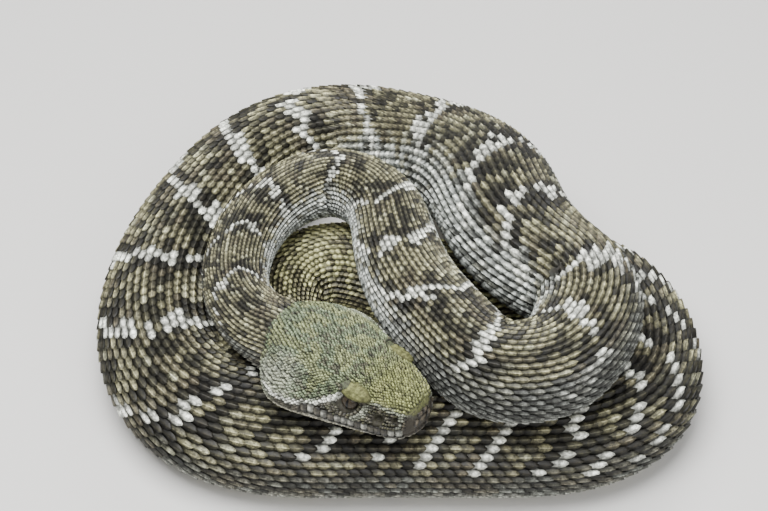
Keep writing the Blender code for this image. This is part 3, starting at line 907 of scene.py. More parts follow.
def scale_shape(name):
    """One scale, root at the origin, a unit long and wide: a thin plate with its rim turned down."""
    outline, keel, crown, ridge = SCALE_KINDS[name]
    across = np.array([-1.0, -ridge, 0.0, ridge, 1.0])
    fall = np.array([-0.34, -0.12 * ridge, keel, -0.12 * ridge, -0.34]) * crown
    top = np.array([
        (place * half, along, lift + drop * min(1.0, along * 4))
        for along, half, lift in outline for place, drop in zip(across, fall)
    ])
    rows, columns = len(outline), len(across)
    faces = [
        (i * columns + j, i * columns + j + 1, (i + 1) * columns + j + 1, (i + 1) * columns + j)
        for i in range(rows - 1) for j in range(columns - 1)
    ]
    rim = [i * columns + columns - 1 for i in range(rows)]
    rim += [(rows - 1) * columns + j for j in range(columns - 2, -1, -1)]
    rim += [i * columns for i in range(rows - 2, -1, -1)]
    rim += list(range(1, columns - 1))
    low = top[rim] - np.array([0, 0, RIM_DEPTH])
    base, count = len(top), len(rim)
    for k in range(count):
        following = (k + 1) % count
        faces.append((rim[k], base + k, base + following, rim[following]))
    faces.append(tuple(base + k for k in range(count))[::-1])
    mesh = bpy.data.meshes.new(name)
    points = np.vstack([top, low])
    mesh.from_pydata(points.tolist(), [], faces)
    mesh.shade_smooth()
    store_map(mesh, "lay", np.column_stack([points[:, 0] + 0.5, points[:, 1]]))
    shape = bpy.data.objects.new(name, mesh)
    face_directions_out(shape)
    return shape


def scale_tree():
    """Lay one scale on each point by its own turn and size, and give it its patch of the bake map."""
    tree = bpy.data.node_groups.new("scale_layer", "GeometryNodeTree")
    face = tree.interface
    kinds = {
        "Points": "Geometry", "Scale shape": "Object", "Length factor": "Float", "Width factor": "Float",
        "Height factor": "Float", "Patch size": "Float", "Finish": "Material",
    }
    sockets = {
        name: face.new_socket(name=name, in_out="INPUT", socket_type=f"NodeSocket{kind}").identifier
        for name, kind in kinds.items()
    }
    face.new_socket(name="Scales", in_out="OUTPUT", socket_type="NodeSocketGeometry")
    nodes = Nodes(tree)
    given = nodes.add("NodeGroupInput").outputs
    turn, size, root, lay = (
        nodes.add("GeometryNodeInputNamedAttribute", {"Name": name}, data_type="FLOAT_VECTOR").outputs[0]
        for name in ("turn", "size", "map_root", "lay")
    )
    factors = nodes.add("ShaderNodeCombineXYZ", {
        "X": given["Width factor"], "Y": given["Length factor"], "Z": given["Height factor"],
    })
    sizes = nodes.add("ShaderNodeVectorMath", {0: size, 1: factors.outputs[0]}, operation="MULTIPLY")
    rotation = nodes.add("FunctionNodeEulerToRotation", {0: turn})
    shape = nodes.add("GeometryNodeObjectInfo", {"Object": given["Scale shape"]})
    laid = nodes.add("GeometryNodeInstanceOnPoints", {
        "Points": given["Points"], "Instance": shape.outputs["Geometry"],
        "Rotation": rotation.outputs[0], "Scale": sizes.outputs[0],
    })
    solid = nodes.add("GeometryNodeRealizeInstances", {0: laid.outputs[0]})
    patch = nodes.add("ShaderNodeVectorMath", {0: lay, "Scale": given["Patch size"]}, operation="SCALE")
    place = nodes.add("ShaderNodeVectorMath", {0: root, 1: patch.outputs[0]}, operation="ADD")
    mapped = nodes.add(
        "GeometryNodeStoreNamedAttribute",
        {"Geometry": solid.outputs[0], "Name": "OFBake"}, data_type="FLOAT2", domain="CORNER",
    )
    tree.links.new(place.outputs[0], mapped.inputs["Value"])
    finish = {"Geometry": mapped.outputs[0], "Material": given["Finish"]}
    finished = nodes.add("GeometryNodeSetMaterial", finish)
    tree.links.new(finished.outputs[0], nodes.add("NodeGroupOutput").inputs[0])
    return tree, sockets


def lay_scales(name, spots, kind, material):
    """Run the scale tree on a set of spots and keep the plain mesh."""
    outward, aft = spots["outward"], spots["aft"]
    along = unit(aft - outward * np.sum(aft * outward, axis=1, keepdims=True))
    across = np.cross(along, outward)
    turns = [
        Matrix(np.column_stack([x, y, z]).tolist()).to_euler()
        for x, y, z in zip(across, along, outward)
    ]
    holder = mesh_object(f"{name}_spots", spots["point"], [])
    vectors = {
        "turn": [tuple(turn) for turn in turns],
        "size": spots["size"] * MM,
        "map_root": np.column_stack([spots["map"], np.zeros(len(turns))]),
    }
    for key, values in vectors.items():
        store(holder.data, key, "FLOAT_VECTOR", "POINT", values)
    store_colour(holder.data, spots["colour"])
    tree, sockets = scale_tree()
    modifier = holder.modifiers.new("scales", "NODES")
    modifier.node_group = tree
    inputs = {
        "Scale shape": scale_shape(kind), "Length factor": 1.0, "Width factor": 1.0,
        "Height factor": 1.0, "Patch size": PATCH, "Finish": material,
    }
    for key, value in inputs.items():
        modifier[sockets[key]] = value
    bpy.context.view_layer.update()
    depsgraph = bpy.context.evaluated_depsgraph_get()
    mesh = bpy.data.meshes.new_from_object(holder.evaluated_get(depsgraph))
    mesh.name = name
    bpy.data.objects.remove(holder)
    bpy.data.node_groups.remove(tree)
    for spare in vectors:
        if spare in mesh.attributes:
            mesh.attributes.remove(mesh.attributes[spare])
    piece = bpy.data.objects.new(name, mesh)
    bpy.context.scene.collection.objects.link(piece)
    return piece


def within_margin(places):
    """Bake map places from 0 to 1, brought inside the map's edges."""
    return MAP_MARGIN + places * (1 - 3 * MAP_MARGIN)


def body_spots(body, head, settings, first, last):
    """Where the scales of the back and flanks grow, between two counts along the body."""
    found = {key: [] for key in ("point", "outward", "aft", "size", "place", "map")}
    for count, half_step in ((count, half) for count in range(first, last) for half in (0, 1)):
        s = float(body.station_at(count + 0.5 * half_step))
        station = np.array([s])
        row_pitch, pitch, depth = (part(station)[0] for part in (body.row_pitch, body.pitch, body.depth))
        left, right, _ = body.reach(station)
        turn = float(np.interp(s, body.run, body.turn))
        near_head = s < HEAD_LENGTH + NECK_BLEND
        eased, plain, _ = skin_ring(body, head, s) if near_head else (None, None, None)
        for row in range(-HALF_ROWS, HALF_ROWS + 1):
            if (row + half_step) % 2:
                continue
            side = 1 if row >= 0 else -1
            steps, run, _ = body.arcs(s, side)
            want = abs(row) * row_pitch
            angle = float(np.interp(want, run, steps))
            if want > run[-1] or angle < SCUTE_ANGLE:
                continue
            angle = angle if side > 0 else math.pi - angle
            out = math.cos(angle) * (left[0] if side > 0 else right[0])
            # Inside a bend, where the rows would crowd, one scale stands for two or four
            stretch = max(1 + turn * out, 0.05)
            stride = 1 if stretch > 0.5 else 2 if stretch > 0.25 else 4
            if count % stride:
                continue
            point, outward, aft = body.surface(station, np.array([angle]), np.array([depth]))
            if near_head:
                nearest = np.argmin(np.linalg.norm(plain - point[0], axis=1))
                point = point + eased[nearest] - plain[nearest]
            long = pitch * min(max(stretch * stride, 0.55), 1.3)
            found["point"].append(point[0] - aft[0] * long * 0.45)
            found["outward"].append(outward[0])
            found["aft"].append(aft[0])
            found["size"].append((row_pitch * BODY_WIDTH, long * settings.overlap, depth))
            found["place"].append((s, row))
            found["map"].append((s / body.length, 0.5 + row / (2.0 * HALF_ROWS + 3)))
    spots = {key: np.array(value) for key, value in found.items()}
    spots["colour"] = body_marking(*spots.pop("place").T, body, settings)
    spots["map"] = within_margin(spots["map"])
    return spots


def granule_pitch(forward):
    return np.interp(forward, *GRANULE_PITCH)


def head_mask(local):
    """True where a small head scale may grow: not under the plates, eyes, pits or lips."""
    forward, out, up = local.T
    middle, half, least = BROW_BED
    free = ((forward - middle[0]) / half[0]) ** 2 + ((out - middle[1]) / half[1]) ** 2 > 1
    free |= up < least
    for spot, *_, radius in HOLLOWS:
        free &= np.linalg.norm(local - np.array(spot), axis=1) > radius
    over_mouth = up - mouth_height(forward)
    return free & ((over_mouth > LIP_TALL[0]) | (over_mouth < -LIP_TALL[1]) | (forward < MOUTH_CORNER))


def head_spots(head, settings):
    """Small scales over the crown, cheeks and throat."""
    found = []
    forward, last = GRANULE_REACH
    row = 0
    while forward < last:
        pitch = float(granule_pitch(forward))
        columns = max(3, round(float(np.interp(forward, head.forward, head.girth)) / pitch))
        for column in range(columns + 1):
            share = (column + 0.5 * (row % 2)) / columns
            if share <= 0.999:
                found += [(forward, share, side) for side in (1, -1) if side > 0 or share > 0]
        forward += pitch * GRANULE_STRIDE
        row += 1
    forward, share, side = np.array(found, float).T
    jitter = chance(forward * 3.1, share * 91.7, side)
    girth = np.interp(forward, head.forward, head.girth)
    across = (chance(forward * 1.7, share * 53.3, side) - 0.5) * 0.45 * granule_pitch(forward) / girth
    share = np.where(share > 0, np.clip(share + across, 0, 0.999), 0)
    forward = np.clip(forward + (jitter - 0.5) * 0.5, 0.3, 54.0)
    point, outward, aft, local = head.placed(forward, share, side)
    pitch = granule_pitch(forward)
    thick = np.full(len(pitch), HEAD_DEPTH * 1.3)
    size = np.column_stack([pitch * HEAD_WIDTH, pitch * settings.head_overlap, thick])
    size *= (0.9 + 0.2 * jitter)[:, None]
    place = np.column_stack([forward / HEAD_MAP_LENGTH, 0.5 + side * share * 0.49])
    spots = {
        "point": point - outward * HEAD_DEPTH - aft * pitch[:, None] * 0.5,
        "outward": outward, "aft": aft, "size": size * HEAD_SCALE,
        "colour": head_marking(local), "map": within_margin(place), "crown": local[:, 2] > CROWN_HEIGHT,
    }
    return chosen_spots(spots, head_mask(local))


def chosen_spots(spots, chosen):
    return {key: value[chosen] for key, value in spots.items()}


def join_spots(sets):
    return {key: np.concatenate([spots[key] for spots in sets]) for key in sets[0]}


def plate_spots(head, forward, share, side, size, colour):
    """Plates of one size on one side of the head, each with its own place and colour."""
    sides = np.full(len(forward), float(side))
    point, outward, aft, local = head.placed(forward, share, sides)
    size = np.tile(np.array(size, float), (len(forward), 1))
    return {
        "point": point - outward * HEAD_DEPTH - aft * size[:, 1:2] * 0.5,
        "outward": outward, "aft": aft, "size": size * HEAD_SCALE, "colour": colour,
        "map": np.column_stack([0.01 + forward / PLATE_MAP_LENGTH, 0.5 + sides * share * 0.45]),
        "crown": local[:, 2] > CROWN_HEIGHT,
    }


def lip_spots(head):
    """Upper and lower lip plates, from the front corner to behind the jaw's corner."""
    sets = []
    count = 15
    edges = np.linspace(53.3, MOUTH_CORNER + 0.6, count + 1)
    middle = (edges[:-1] + edges[1:]) / 2
    long = edges[0] - edges[1]
    for above, tall in ((1, 3.3), (-1, 2.7)):
        share = head.side_share(middle, mouth_height(middle) + above * (tall / 2 + 0.2))
        dark = chance(np.arange(count), above, 21) < 0.35
        pale = chance(np.arange(count), above, 22) < 0.35
        colour = head_marking(head.local(middle, share))
        colour = layered(colour, (FACE_BAND, 0.7 * dark * (above > 0)), (PALE, 0.28 * pale))
        for side in (1, -1):
            sets.append(plate_spots(head, middle, share, side, (tall, long * 1.12, 0.75), colour))
    return join_spots(sets)


def snout_spots(head):
    """The plates of the snout's blunt front: rostral, mental and what stands beside and above them."""
    # Out and up of each plate's middle, its width and height, and whether it points up or down
    front = [
        (0.0, 9.9, 4.2, 4.4, 1), (3.0, 10.3, 2.0, 3.4, 1), (-3.0, 10.3, 2.0, 3.4, 1),
        (1.3, 13.2, 2.5, 2.2, 1), (-1.3, 13.2, 2.5, 2.2, 1),
        (0.0, 6.3, 3.2, 1.9, -1), (2.4, 6.7, 1.8, 1.7, -1), (-2.4, 6.7, 1.8, 1.7, -1),
    ]
    centre, aft, left, up = head.axes((HEAD_DRAWN - HEAD_DEPTH, 0.0, 0.0), 1)
    rows = []
    for out, high, wide, tall, way in front:
        middle = centre + (left * out + up * high) * HEAD_SCALE
        rows.append({
            "point": middle - up * way * tall * 0.5 * HEAD_SCALE,
            "outward": -aft * 0.94 + left * out * 0.06,
            "aft": up * way,
            "size": np.array([wide, tall, 0.8]) * HEAD_SCALE,
            "colour": ROSTRAL * (0.8 + 0.5 * chance(out, high, 51)),
            "map": (0.97, 0.5 + out / 60),
        })
    return {key: np.array([row[key] for row in rows]) for key in rows[0]}


def eye_ring_spots(head):
    """Two rings of small scales round each eye, in front of, behind and below it."""
    sets = []
    for radius, count, long in ((4.15, 16, 1.7), (5.45, 20, 1.8)):
        angle = np.linspace(math.radians(150), math.radians(390), count)
        forward = EYE_MIDDLE[0] + radius * np.cos(angle)
        share = head.side_share(forward, EYE_MIDDLE[2] + radius * 0.92 * np.sin(angle))
        local = head.local(forward, share)
        keep = (local[:, 2] < 18.0) & (local[:, 2] > mouth_height(forward) + 3.3)
        for side in (1, -1):
            spots = plate_spots(head, forward, share, side, (1.75, long, 0.7), head_marking(local))
            sets.append(chosen_spots(spots, keep))
    return join_spots(sets)


def skin_ring(body, head, s):
    """The skin's ring at one distance, eased from the nape's outline to the neck's, and the plain ring."""
    plain, row = body.ring(s, BODY_POINTS, body.depth(np.array([s]))[0])
    share = float(smooth(HEAD_LENGTH, HEAD_LENGTH + NECK_BLEND, s))
    if share == 1:
        return plain, plain, row
    around, sides = head_round(BODY_POINTS)
    nape = mirrored(head.local(np.zeros(BODY_POINTS), around), sides) * HEAD_SCALE
    place, _, left, up = body.frame_at(s)
    shape = place + left * nape[:, 1:2] + up * nape[:, 2:3]
    centre = shape.mean(axis=0)
    shape = centre + (shape - centre) * (1 - HEAD_DEPTH / NAPE_HALF_WIDTH)
    return shape * (1 - share) + plain * share, plain, row


def head_sinking(local, forward):
    """How deep the skin lies in a ring of the head, more in the sockets, pits, nostrils and mouth line."""
    sunk = np.full(len(local), HEAD_DEPTH)
    for spot, depth, inner, outer, _ in HOLLOWS:
        away = np.linalg.norm(local - np.array(spot), axis=1)
        sunk = sunk + depth * (1 - smooth(inner, outer, away))
    if forward > MOUTH_CORNER:
        deep, wide = MOUTH_GROOVE
        sunk = sunk + deep * np.exp(-((local[:, 2] - mouth_height(local[:, 0])) / wide) ** 2)
    return sunk


def make_skin(body, head, settings):
    """One closed skin from the snout to the tail's end, with sockets, pits, nostrils and mouth line."""
    rings, colours, maps = [], [], []

    def add_ring(points, colour, along, turn):
        rings.append(points)
        colours.append(colour * settings.skin_shade)
        maps.append(np.column_stack([np.full(len(turn), along), turn]))

    around, sides = head_round(HEAD_POINTS)
    turn = np.where(sides > 0, around / 2, 1 - around / 2)
    tip = HEAD_DRAWN - 0.02
    front = mirrored(head.local(np.full(HEAD_POINTS, tip), around), sides)
    middle = np.array([HEAD_DRAWN, 0.0, SNOUT_MIDDLE_HEIGHT])
    for share in (0.12, 0.3, 0.5, 0.68, 0.84, 0.94):
        local = middle + (front - middle) * share
        local[:, 0] = HEAD_DRAWN + 0.35 * (1 - share * share) - HEAD_DEPTH
        add_ring(head.world(local), head_marking(local), 0.001 + 0.004 * share, turn)
    for forward in np.linspace(HEAD_DRAWN, 0, round(HEAD_DRAWN / HEAD_STEP) + 1):
        point, outward, _, local = head.placed(np.full(HEAD_POINTS, min(forward, tip)), around, sides)
        point = point - outward * head_sinking(local, forward)[:, None]
        add_ring(point, head_marking(local), 0.006 + (HEAD_DRAWN - forward) / SKIN_MAP_LENGTH, turn)
    head_rings = len(rings)

    count = round((body.length - HEAD_LENGTH) / BODY_STEP)
    for s in np.linspace(HEAD_LENGTH + 1.0, body.length - 0.3, count):
        ring, _, row = skin_ring(body, head, float(s))
        marking = body_marking(np.full(len(row), float(s)), row, body, settings)
        add_ring(ring, marking, 0.006 + s / SKIN_MAP_LENGTH, turn[::2])

    snout_point = np.array([[HEAD_DRAWN + 0.36 - HEAD_DEPTH, 0.0, SNOUT_MIDDLE_HEIGHT]])
    points = np.vstack(rings + [head.world(snout_point)])
    snout = len(points) - 1
    faces = [(snout, (j + 1) % HEAD_POINTS, j) for j in range(HEAD_POINTS)]
    for i in range(head_rings - 1):
        faces += band(i * HEAD_POINTS, (i + 1) * HEAD_POINTS, HEAD_POINTS)
    # The head's last ring has two points for each point of the body's first ring
    nape = (head_rings - 1) * HEAD_POINTS
    neck = head_rings * HEAD_POINTS
    for j in range(BODY_POINTS):
        k = (j + 1) % BODY_POINTS
        faces.append((nape + 2 * j, nape + 2 * j + 1, neck + j))
        faces.append((nape + 2 * j + 1, nape + 2 * k, neck + k, neck + j))
    for i in range(count - 1):
        faces += band(neck + i * BODY_POINTS, neck + (i + 1) * BODY_POINTS, BODY_POINTS)
    end = neck + (count - 1) * BODY_POINTS
    faces.append(tuple(end + j for j in range(BODY_POINTS)))
    skin = closed_piece("skin", points, faces)
    store_colour(skin.data, np.vstack([*colours, colours[0][:1]]))
    store_map(skin.data, "OFBake", np.vstack([*maps, [[0.0, 0.5]]]))
    return skin


def make_scutes(body):
    """The wide plates of the belly, each over the front of the next."""
    # Where each line across a plate stands against the pitch, and how far it rises out of the skin
    profile = ((-0.1, -0.1), (0.25, 0.35), (0.85, 0.62), (1.18, 0.80), (1.2, 0.35))
    sides, flats = 6, 5
    columns = 2 * sides + flats
    bends = np.linspace(SCUTE_ANGLE + math.radians(4), -BELLY_ANGLE, sides)
    edge = np.linspace(0.25, 1.0, sides)
    shares = np.linspace(1, -1, flats + 2)[1:-1]
    points, colours, maps, faces = [], [], [], []
    for count in range(body.stations):
        start = float(body.station_at(count))
        pitch = body.pitch(np.array([start]))[0]
        base = len(points)
        for ahead, lift in profile:
            s = min(start + ahead * pitch, body.length - 0.4)
            depth = float(body.depth(np.array([s]))[0])
            inset = depth * (1 - lift)
            many = np.full(sides, s)
            left, right = (
                body.surface(many, angles, depth - (depth - inset) * edge)[0]
                for angles in (bends, math.pi - bends)
            )
            flat = body.belly(np.full(flats, s), shares, np.full(flats, inset))
            points.extend(np.vstack([left, flat, right[::-1]]))
            cloud = chance(count, np.arange(columns) // 3, 31)
            tone = mix(np.broadcast_to(BELLY, (columns, 3)), LOW_FLANK, 0.6 * (cloud < 0.3))
            dark = smooth(VENT - 4, VENT + 30, s)
            colours.extend(mix(tone, TAIL_PALE * 0.6, dark * np.ones(columns)))
            along = MAP_MARGIN + s / BELLY_MAP_LENGTH + PATCH * min(max(ahead, 0), 1)
            maps.extend((along, 0.02 + PATCH * column / columns) for column in range(columns))
        for i in range(len(profile) - 1):
            for j in range(columns - 1):
                a = base + i * columns + j
                faces.append((a, a + 1, a + columns + 1, a + columns))
    scutes = mesh_object("belly_scutes", points, faces)
    thin = scutes.modifiers.new("thickness", "SOLIDIFY")
    thin.thickness = 0.25 * MM
    thin.offset = -1.0
    store_colour(scutes.data, np.array(colours))
    store_map(scutes.data, "OFBake", np.array(maps))
    return scutes


def make_brows(head):
    """The broad plate over each eye, crowned, with faint ripples across it."""
    rings, columns = 14, 48
    long, wide, tall = np.array(BROW_HALF_SIZE) * HEAD_SCALE * (0.96, 0.92, 0.86)
    angles = [2 * math.pi * column / columns for column in range(columns)]
    points, colours, maps, faces = [], [], [], []
    for side in (1, -1):
        centre, aft, left, up = head.axes(BROW_MIDDLE, side)
        outward = left * side * math.cos(BROW_TILT) - up * math.sin(BROW_TILT)
        upward = up * math.cos(BROW_TILT) + left * side * math.sin(BROW_TILT)
        map_middle = 0.3 + 0.3 * (side > 0)
        base = len(points)
        for ring in range(rings + 1):
            share = math.sin(math.pi / 2 * ring / rings) if ring < rings else 1.0
            for column, angle in enumerate(angles):
                ahead = math.cos(angle) * share
                sideways = math.sin(angle) * share
                ripple = math.sin(ahead * 15 + 3 * sideways * sideways) * (1 - share ** 4)
                high = math.sqrt(max(1 - share * share, 0)) ** 0.8 * tall + 0.16 * ripple
                egg = 1 - 0.16 * ahead
                point = centre - aft * ahead * long + upward * high
                points.append(point + outward * sideways * wide * egg)
                tone = mix(SNOUT * 0.8, BROW, 0.7 + 0.3 * ahead)
                # Painted highlight on the ripples' crests and painted shade in their hollows
                tone = tone * (0.75 + 0.4 * chance(ring, column, side)) * (1 + 0.20 * ripple)
                colours.append(tone * (1.0 - 0.6 * share ** 4))
                maps.append((map_middle + 0.1 * ahead, 0.5 + 0.1 * sideways))
        for angle in angles:
            low = centre - aft * math.cos(angle) * long * 0.8 - upward * tall * 0.75
            points.append(low + outward * math.sin(angle) * wide * 0.8)
            colours.append(FACE_BAND)
            maps.append((map_middle + 0.12 * math.cos(angle), 0.5 + 0.12 * math.sin(angle)))
        for ring in range(rings + 1):
            faces += band(base + ring * columns, base + (ring + 1) * columns, columns)
        for ring in (0, rings + 1):
            faces.append(tuple(base + ring * columns + column for column in range(columns)))
    brows = closed_piece("brow_plates", points, faces)
    store_colour(brows.data, np.array(colours))
    store_map(brows.data, "OFBake", np.array(maps))
    return brows


def make_eye(head, name, side):
    """An eyeball that knows how far each point is across, above and out from its own middle."""
    rows, columns = 24, 40
    radius = EYE_RADIUS * HEAD_SCALE
    centre, aft, left, up = head.axes(EYE_MIDDLE, side)
    out = unit(left * side * 0.96 - aft * 0.18 + up * 0.20)
    high = unit(up - out * (up @ out))
    wide = np.cross(high, out)
    gaze = [(0.0, 0.0, 1.0)]
    for row in range(1, rows):
        polar = math.pi * row / rows
        for column in range(columns):
            angle = 2 * math.pi * column / columns
            across, above = math.sin(polar) * math.cos(angle), math.sin(polar) * math.sin(angle)
            gaze.append((across, above, math.cos(polar)))
    gaze.append((0.0, 0.0, -1.0))
    points = [centre + (wide * x + high * y + out * z) * radius for x, y, z in gaze]
    last = 1 + (rows - 2) * columns
    faces = []
    for column in range(columns):
        following = (column + 1) % columns
        faces.append((0, 1 + column, 1 + following))
        for a in range(1, last, columns):
            faces.append((a + column, a + columns + column, a + columns + following, a + following))
        faces.append((last + column, len(points) - 1, last + following))
    eye = closed_piece(name, points, faces)
    store(eye.data, "gaze", "FLOAT_VECTOR", "POINT", gaze)
    return eye


def make_rattle(body):
    """Nested horn segments, each with two swollen lobes, a groove and a narrow root."""
    place, aft, left, _ = body.frame_at(body.length)
    level = np.array([1, 1, 0])
    upright = np.array([0, 0, 1.0])
    place = place * level + upright * RATTLE_LIFT
    aft = unit(aft * level)
    columns = 40
    # Share of a segment's length, and of its full size there
    profile = [(0.0, 0.76), (0.06, 0.90), (0.18, 0.99), (0.34, 1.0), (0.5, 0.945), (0.64, 0.985),
               (0.8, 0.97), (0.9, 0.88), (0.97, 0.76)]
    angles = np.linspace(0, 2 * math.pi, columns, endpoint=False)
    pinch = 1 - RATTLE_PINCH * np.exp(-(np.sin(angles) / 0.4) ** 2)
    rings, colours = [], []
    for segment in range(RATTLE_SEGMENTS):
        for phase, swell in profile:
            share = (segment + phase) / RATTLE_SEGMENTS
            width, height = (
                swell * (first + share * (last - first))
                for first, last in (RATTLE_HALF_WIDTH, RATTLE_HALF_HEIGHT)
            )
            centre = place + aft * (0.2 + share * RATTLE_SEGMENTS * SEGMENT_LENGTH)
            out = width * np.cos(angles) * pinch
            rings.append(centre + left * out[:, None] + upright * (height * np.sin(angles))[:, None])
            groove = 1 - smooth(0.78, 0.97, swell)
            tone = mix(KERATIN, KERATIN_GROOVE, float(groove) * 0.85)
            colours.append(np.tile(tone * (0.85 + 0.3 * chance(segment, 41)), (columns, 1)))
    faces = []
    for i in range(len(rings) - 1):
        faces += band(i * columns, (i + 1) * columns, columns)
    for i in (0, len(rings) - 1):
        faces.append(tuple(i * columns + j for j in range(columns)))
    rattle = closed_piece("rattle_segments", np.vstack(rings), faces)
    store_colour(rattle.data, np.vstack(colours))
    return rattle


class SnakeSettings(bpy.types.PropertyGroup):
    """Sizes and counts that a user may change before building."""

    tail_ring: bpy.props.FloatProperty(
        name="Tail ring", description="One black and one pale ring of the tail, mm",
        default=15.0, min=8.0,
    )
    overlap: bpy.props.FloatProperty(
        name="Overlap", description="Length of a body scale against its pitch",
        default=1.62, min=1.0, max=2.0,
    )
    head_overlap: bpy.props.FloatProperty(
        name="Head overlap", description="Length of a head scale against its pitch",
        default=1.25, min=1.0, max=2.0,
    )
    skin_shade: bpy.props.FloatProperty(
        name="Skin shade", description="Brightness of the skin against its scales",
        default=0.42, min=0.0, max=1.0, subtype="FACTOR",
    )
    floor_colour: bpy.props.FloatVectorProperty(
        name="Floor colour", description="Colour of the plain floor",
        default=(0.62, 0.61, 0.59), min=0.0, max=1.0, subtype="COLOR",
    )
    light: bpy.props.FloatProperty(
        name="Light", description="Power of the main soft light", default=19.0, min=0.0, unit="POWER",
    )


class BuildSkin(bpy.types.Operator):
    """Build the one skin that replaces the solids of flesh"""

    bl_idname = "rattlesnake.skin"
    bl_label = "Skin"

    def execute(self, context):
        body = Body()
        skin = make_skin(body, Head(body), context.scene.rattlesnake)
        ride(skin, "body_scales", *BODY_NODES, material=clouded_material("skin_between_scales"))
        return {"FINISHED"}


class BuildBodyScales(bpy.types.Operator):
    """Lay the keeled scales of the back and flanks, in five lengths, and those of the tail"""

    bl_idname = "rattlesnake.body_scales"
    bl_label = "Body scales"

    def execute(self, context):
        body = Body()
        head = Head(body)
        material = scale_material("keeled_scales", 1.5, 0.7, 0.55)
        vent = sum(body.station_at(np.arange(body.stations)) < VENT)
        cuts = [*np.linspace(0, vent, 6).astype(int), body.stations]
        names = [*(f"body_scales_{number}" for number in range(1, 6)), "tail_scales"]
        for name, first, last in zip(names, cuts[:-1], cuts[1:]):
            spots = body_spots(body, head, context.scene.rattlesnake, int(first), int(last))
            piece = lay_scales(name, spots, "keeled_scale", material)
            ride(piece, "tail_scales" if name == "tail_scales" else "body_scales")
        return {"FINISHED"}


class BuildBelly(bpy.types.Operator):
    """Build the wide plates under the body and tail"""

    bl_idname = "rattlesnake.belly"
    bl_label = "Belly scutes"

    def execute(self, context):
        ride(make_scutes(Body()), "body_scales", material=clouded_material("belly_scute"))
        return {"FINISHED"}


class BuildHeadScales(bpy.types.Operator):
    """Lay the small scales of the head and the plates of its lips, eyes and brows"""

    bl_idname = "rattlesnake.head_scales"
    bl_label = "Head scales"

    def execute(self, context):
        head = Head(Body())
        fine = scale_material("head_scales", 0.8, 0.6, 0.55)
        small = join_spots([head_spots(head, context.scene.rattlesnake), eye_ring_spots(head)])
        crown = small["crown"]
        rear = small["map"][:, 0] < 0.45
        parts = (("crown_scales", crown), ("jowl_scales", ~crown & rear), ("cheek_scales", ~crown & ~rear))
        for name, chosen in parts:
            ride(lay_scales(name, chosen_spots(small, chosen), "granule", fine), "head_scales")
        for name, spots, speckling, roughness, slot in (
            ("snout_plates", snout_spots(head), 0.4, 0.5, "head_scales"),
            ("lip_plates", lip_spots(head), 0.3, 0.45, "jaw_scales"),
        ):
            material = scale_material(name, 0.0, speckling, roughness)
            ride(lay_scales(name, spots, "plate", material), slot)
        ride(make_brows(head), "head_scales", material=brow_material())
        return {"FINISHED"}


class BuildEyes(bpy.types.Operator):
    """Build both eyes"""

    bl_idname = "rattlesnake.eyes"
    bl_label = "Eyes"

    def execute(self, context):
        head = Head(Body())
        material = eye_material()
        for name, side in (("left", 1), ("right", -1)):
            eye = make_eye(head, f"eyeball_{name}", side)
            ride(eye, "eye_surface", f"eye_{name}", material=material)
        return {"FINISHED"}


class BuildRattle(bpy.types.Operator):
    """Build the rattle"""

    bl_idname = "rattlesnake.rattle"
    bl_label = "Rattle"

    def execute(self, context):
        rattle = make_rattle(Body())
        ride(rattle, "rattle_keratin", "rattle", material=clouded_material("rattle_horn"))
        return {"FINISHED"}


def aimed_light(name, place, size, power):
    """A square soft light that faces the snake."""
    data = bpy.data.lights.new(name, "AREA")
    data.shape = "SQUARE"
    data.size = size
    data.energy = power
    light = bpy.data.objects.new(name, data)
    light.location = place
    light.rotation_euler = (Vector(CAMERA_TARGET) - Vector(place)).to_track_quat("-Z", "Y").to_euler()
    bpy.context.scene.collection.objects.link(light)


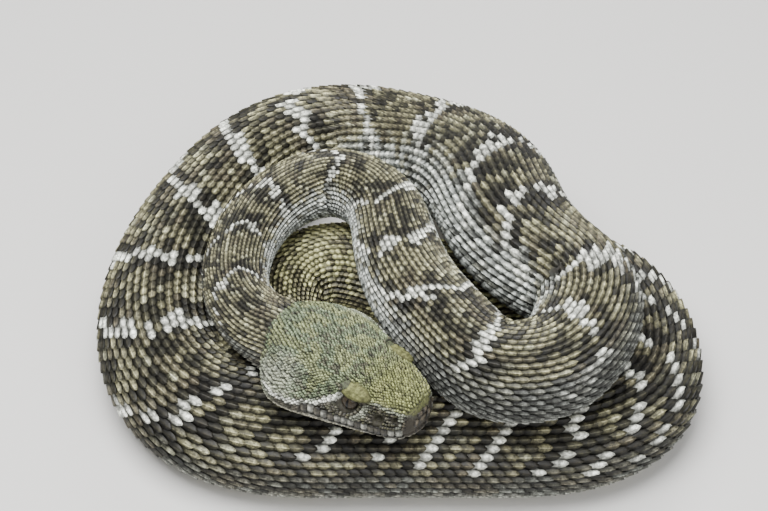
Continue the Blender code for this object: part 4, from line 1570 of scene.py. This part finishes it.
class BuildStage(bpy.types.Operator):
    """Build the plain floor, the soft lights and the camera"""

    bl_idname = "rattlesnake.stage"
    bl_label = "Stage"

    def execute(self, context):
        settings = context.scene.rattlesnake
        corners = [(x * FLOOR_REACH, y * FLOOR_REACH, 0) for x, y in ((-1, -1), (1, -1), (1, 1), (-1, 1))]
        floor = mesh_object("floor", corners, [(0, 1, 2, 3)], smooth_shaded=False)
        material, _, shader = new_material("studio_floor", 0.85, 0.2)
        shader.inputs["Base Color"].default_value = (*settings.floor_colour, 1)
        floor.data.materials.append(material)
        for name, place, size, share in LIGHTS:
            aimed_light(name, place, size, settings.light * share)
        world = bpy.data.worlds.new("soft_room")
        world.use_nodes = True
        background = world.node_tree.nodes["Background"]
        background.inputs["Color"].default_value = ROOM_COLOUR
        background.inputs["Strength"].default_value = ROOM_STRENGTH
        context.scene.world = world
        data = bpy.data.cameras.new("camera")
        data.lens = CAMERA_LENS
        data.sensor_width = CAMERA_SENSOR
        data.clip_start = 0.01
        camera = bpy.data.objects.new("camera", data)
        back = Vector((0, -math.cos(CAMERA_ELEVATION), math.sin(CAMERA_ELEVATION)))
        camera.location = Vector(CAMERA_TARGET) + back * CAMERA_DISTANCE
        camera.rotation_euler = (-back).to_track_quat("-Z", "Y").to_euler()
        context.scene.collection.objects.link(camera)
        context.scene.camera = camera
        return {"FINISHED"}


OPERATORS = (BuildSkin, BuildBodyScales, BuildBelly, BuildHeadScales, BuildEyes, BuildRattle, BuildStage)


class SnakePanel(bpy.types.Panel):
    """Lists the pieces in the 3D view's sidebar"""

    bl_idname = "VIEW3D_PT_rattlesnake"
    bl_label = "Rattlesnake"
    bl_space_type = "VIEW_3D"
    bl_region_type = "UI"
    bl_category = "Rattlesnake"

    def draw(self, context):
        settings = context.scene.rattlesnake
        for name in SnakeSettings.__annotations__:
            self.layout.prop(settings, name)
        for operator in OPERATORS:
            self.layout.operator(operator.bl_idname)


CLASSES = (SnakeSettings, *OPERATORS, SnakePanel)


def register():
    for kind in CLASSES:
        bpy.utils.register_class(kind)
    bpy.types.Scene.rattlesnake = bpy.props.PointerProperty(type=SnakeSettings)


def unregister():
    del bpy.types.Scene.rattlesnake
    for kind in reversed(CLASSES):
        bpy.utils.unregister_class(kind)


def plain(box):
    return [[float(value) for value in corner] for corner in box]


def main():
    register()
    for operator in OPERATORS:
        group, name = operator.bl_idname.split(".")
        getattr(getattr(bpy.ops, group), name)()


if __name__ == "__main__":
    main()
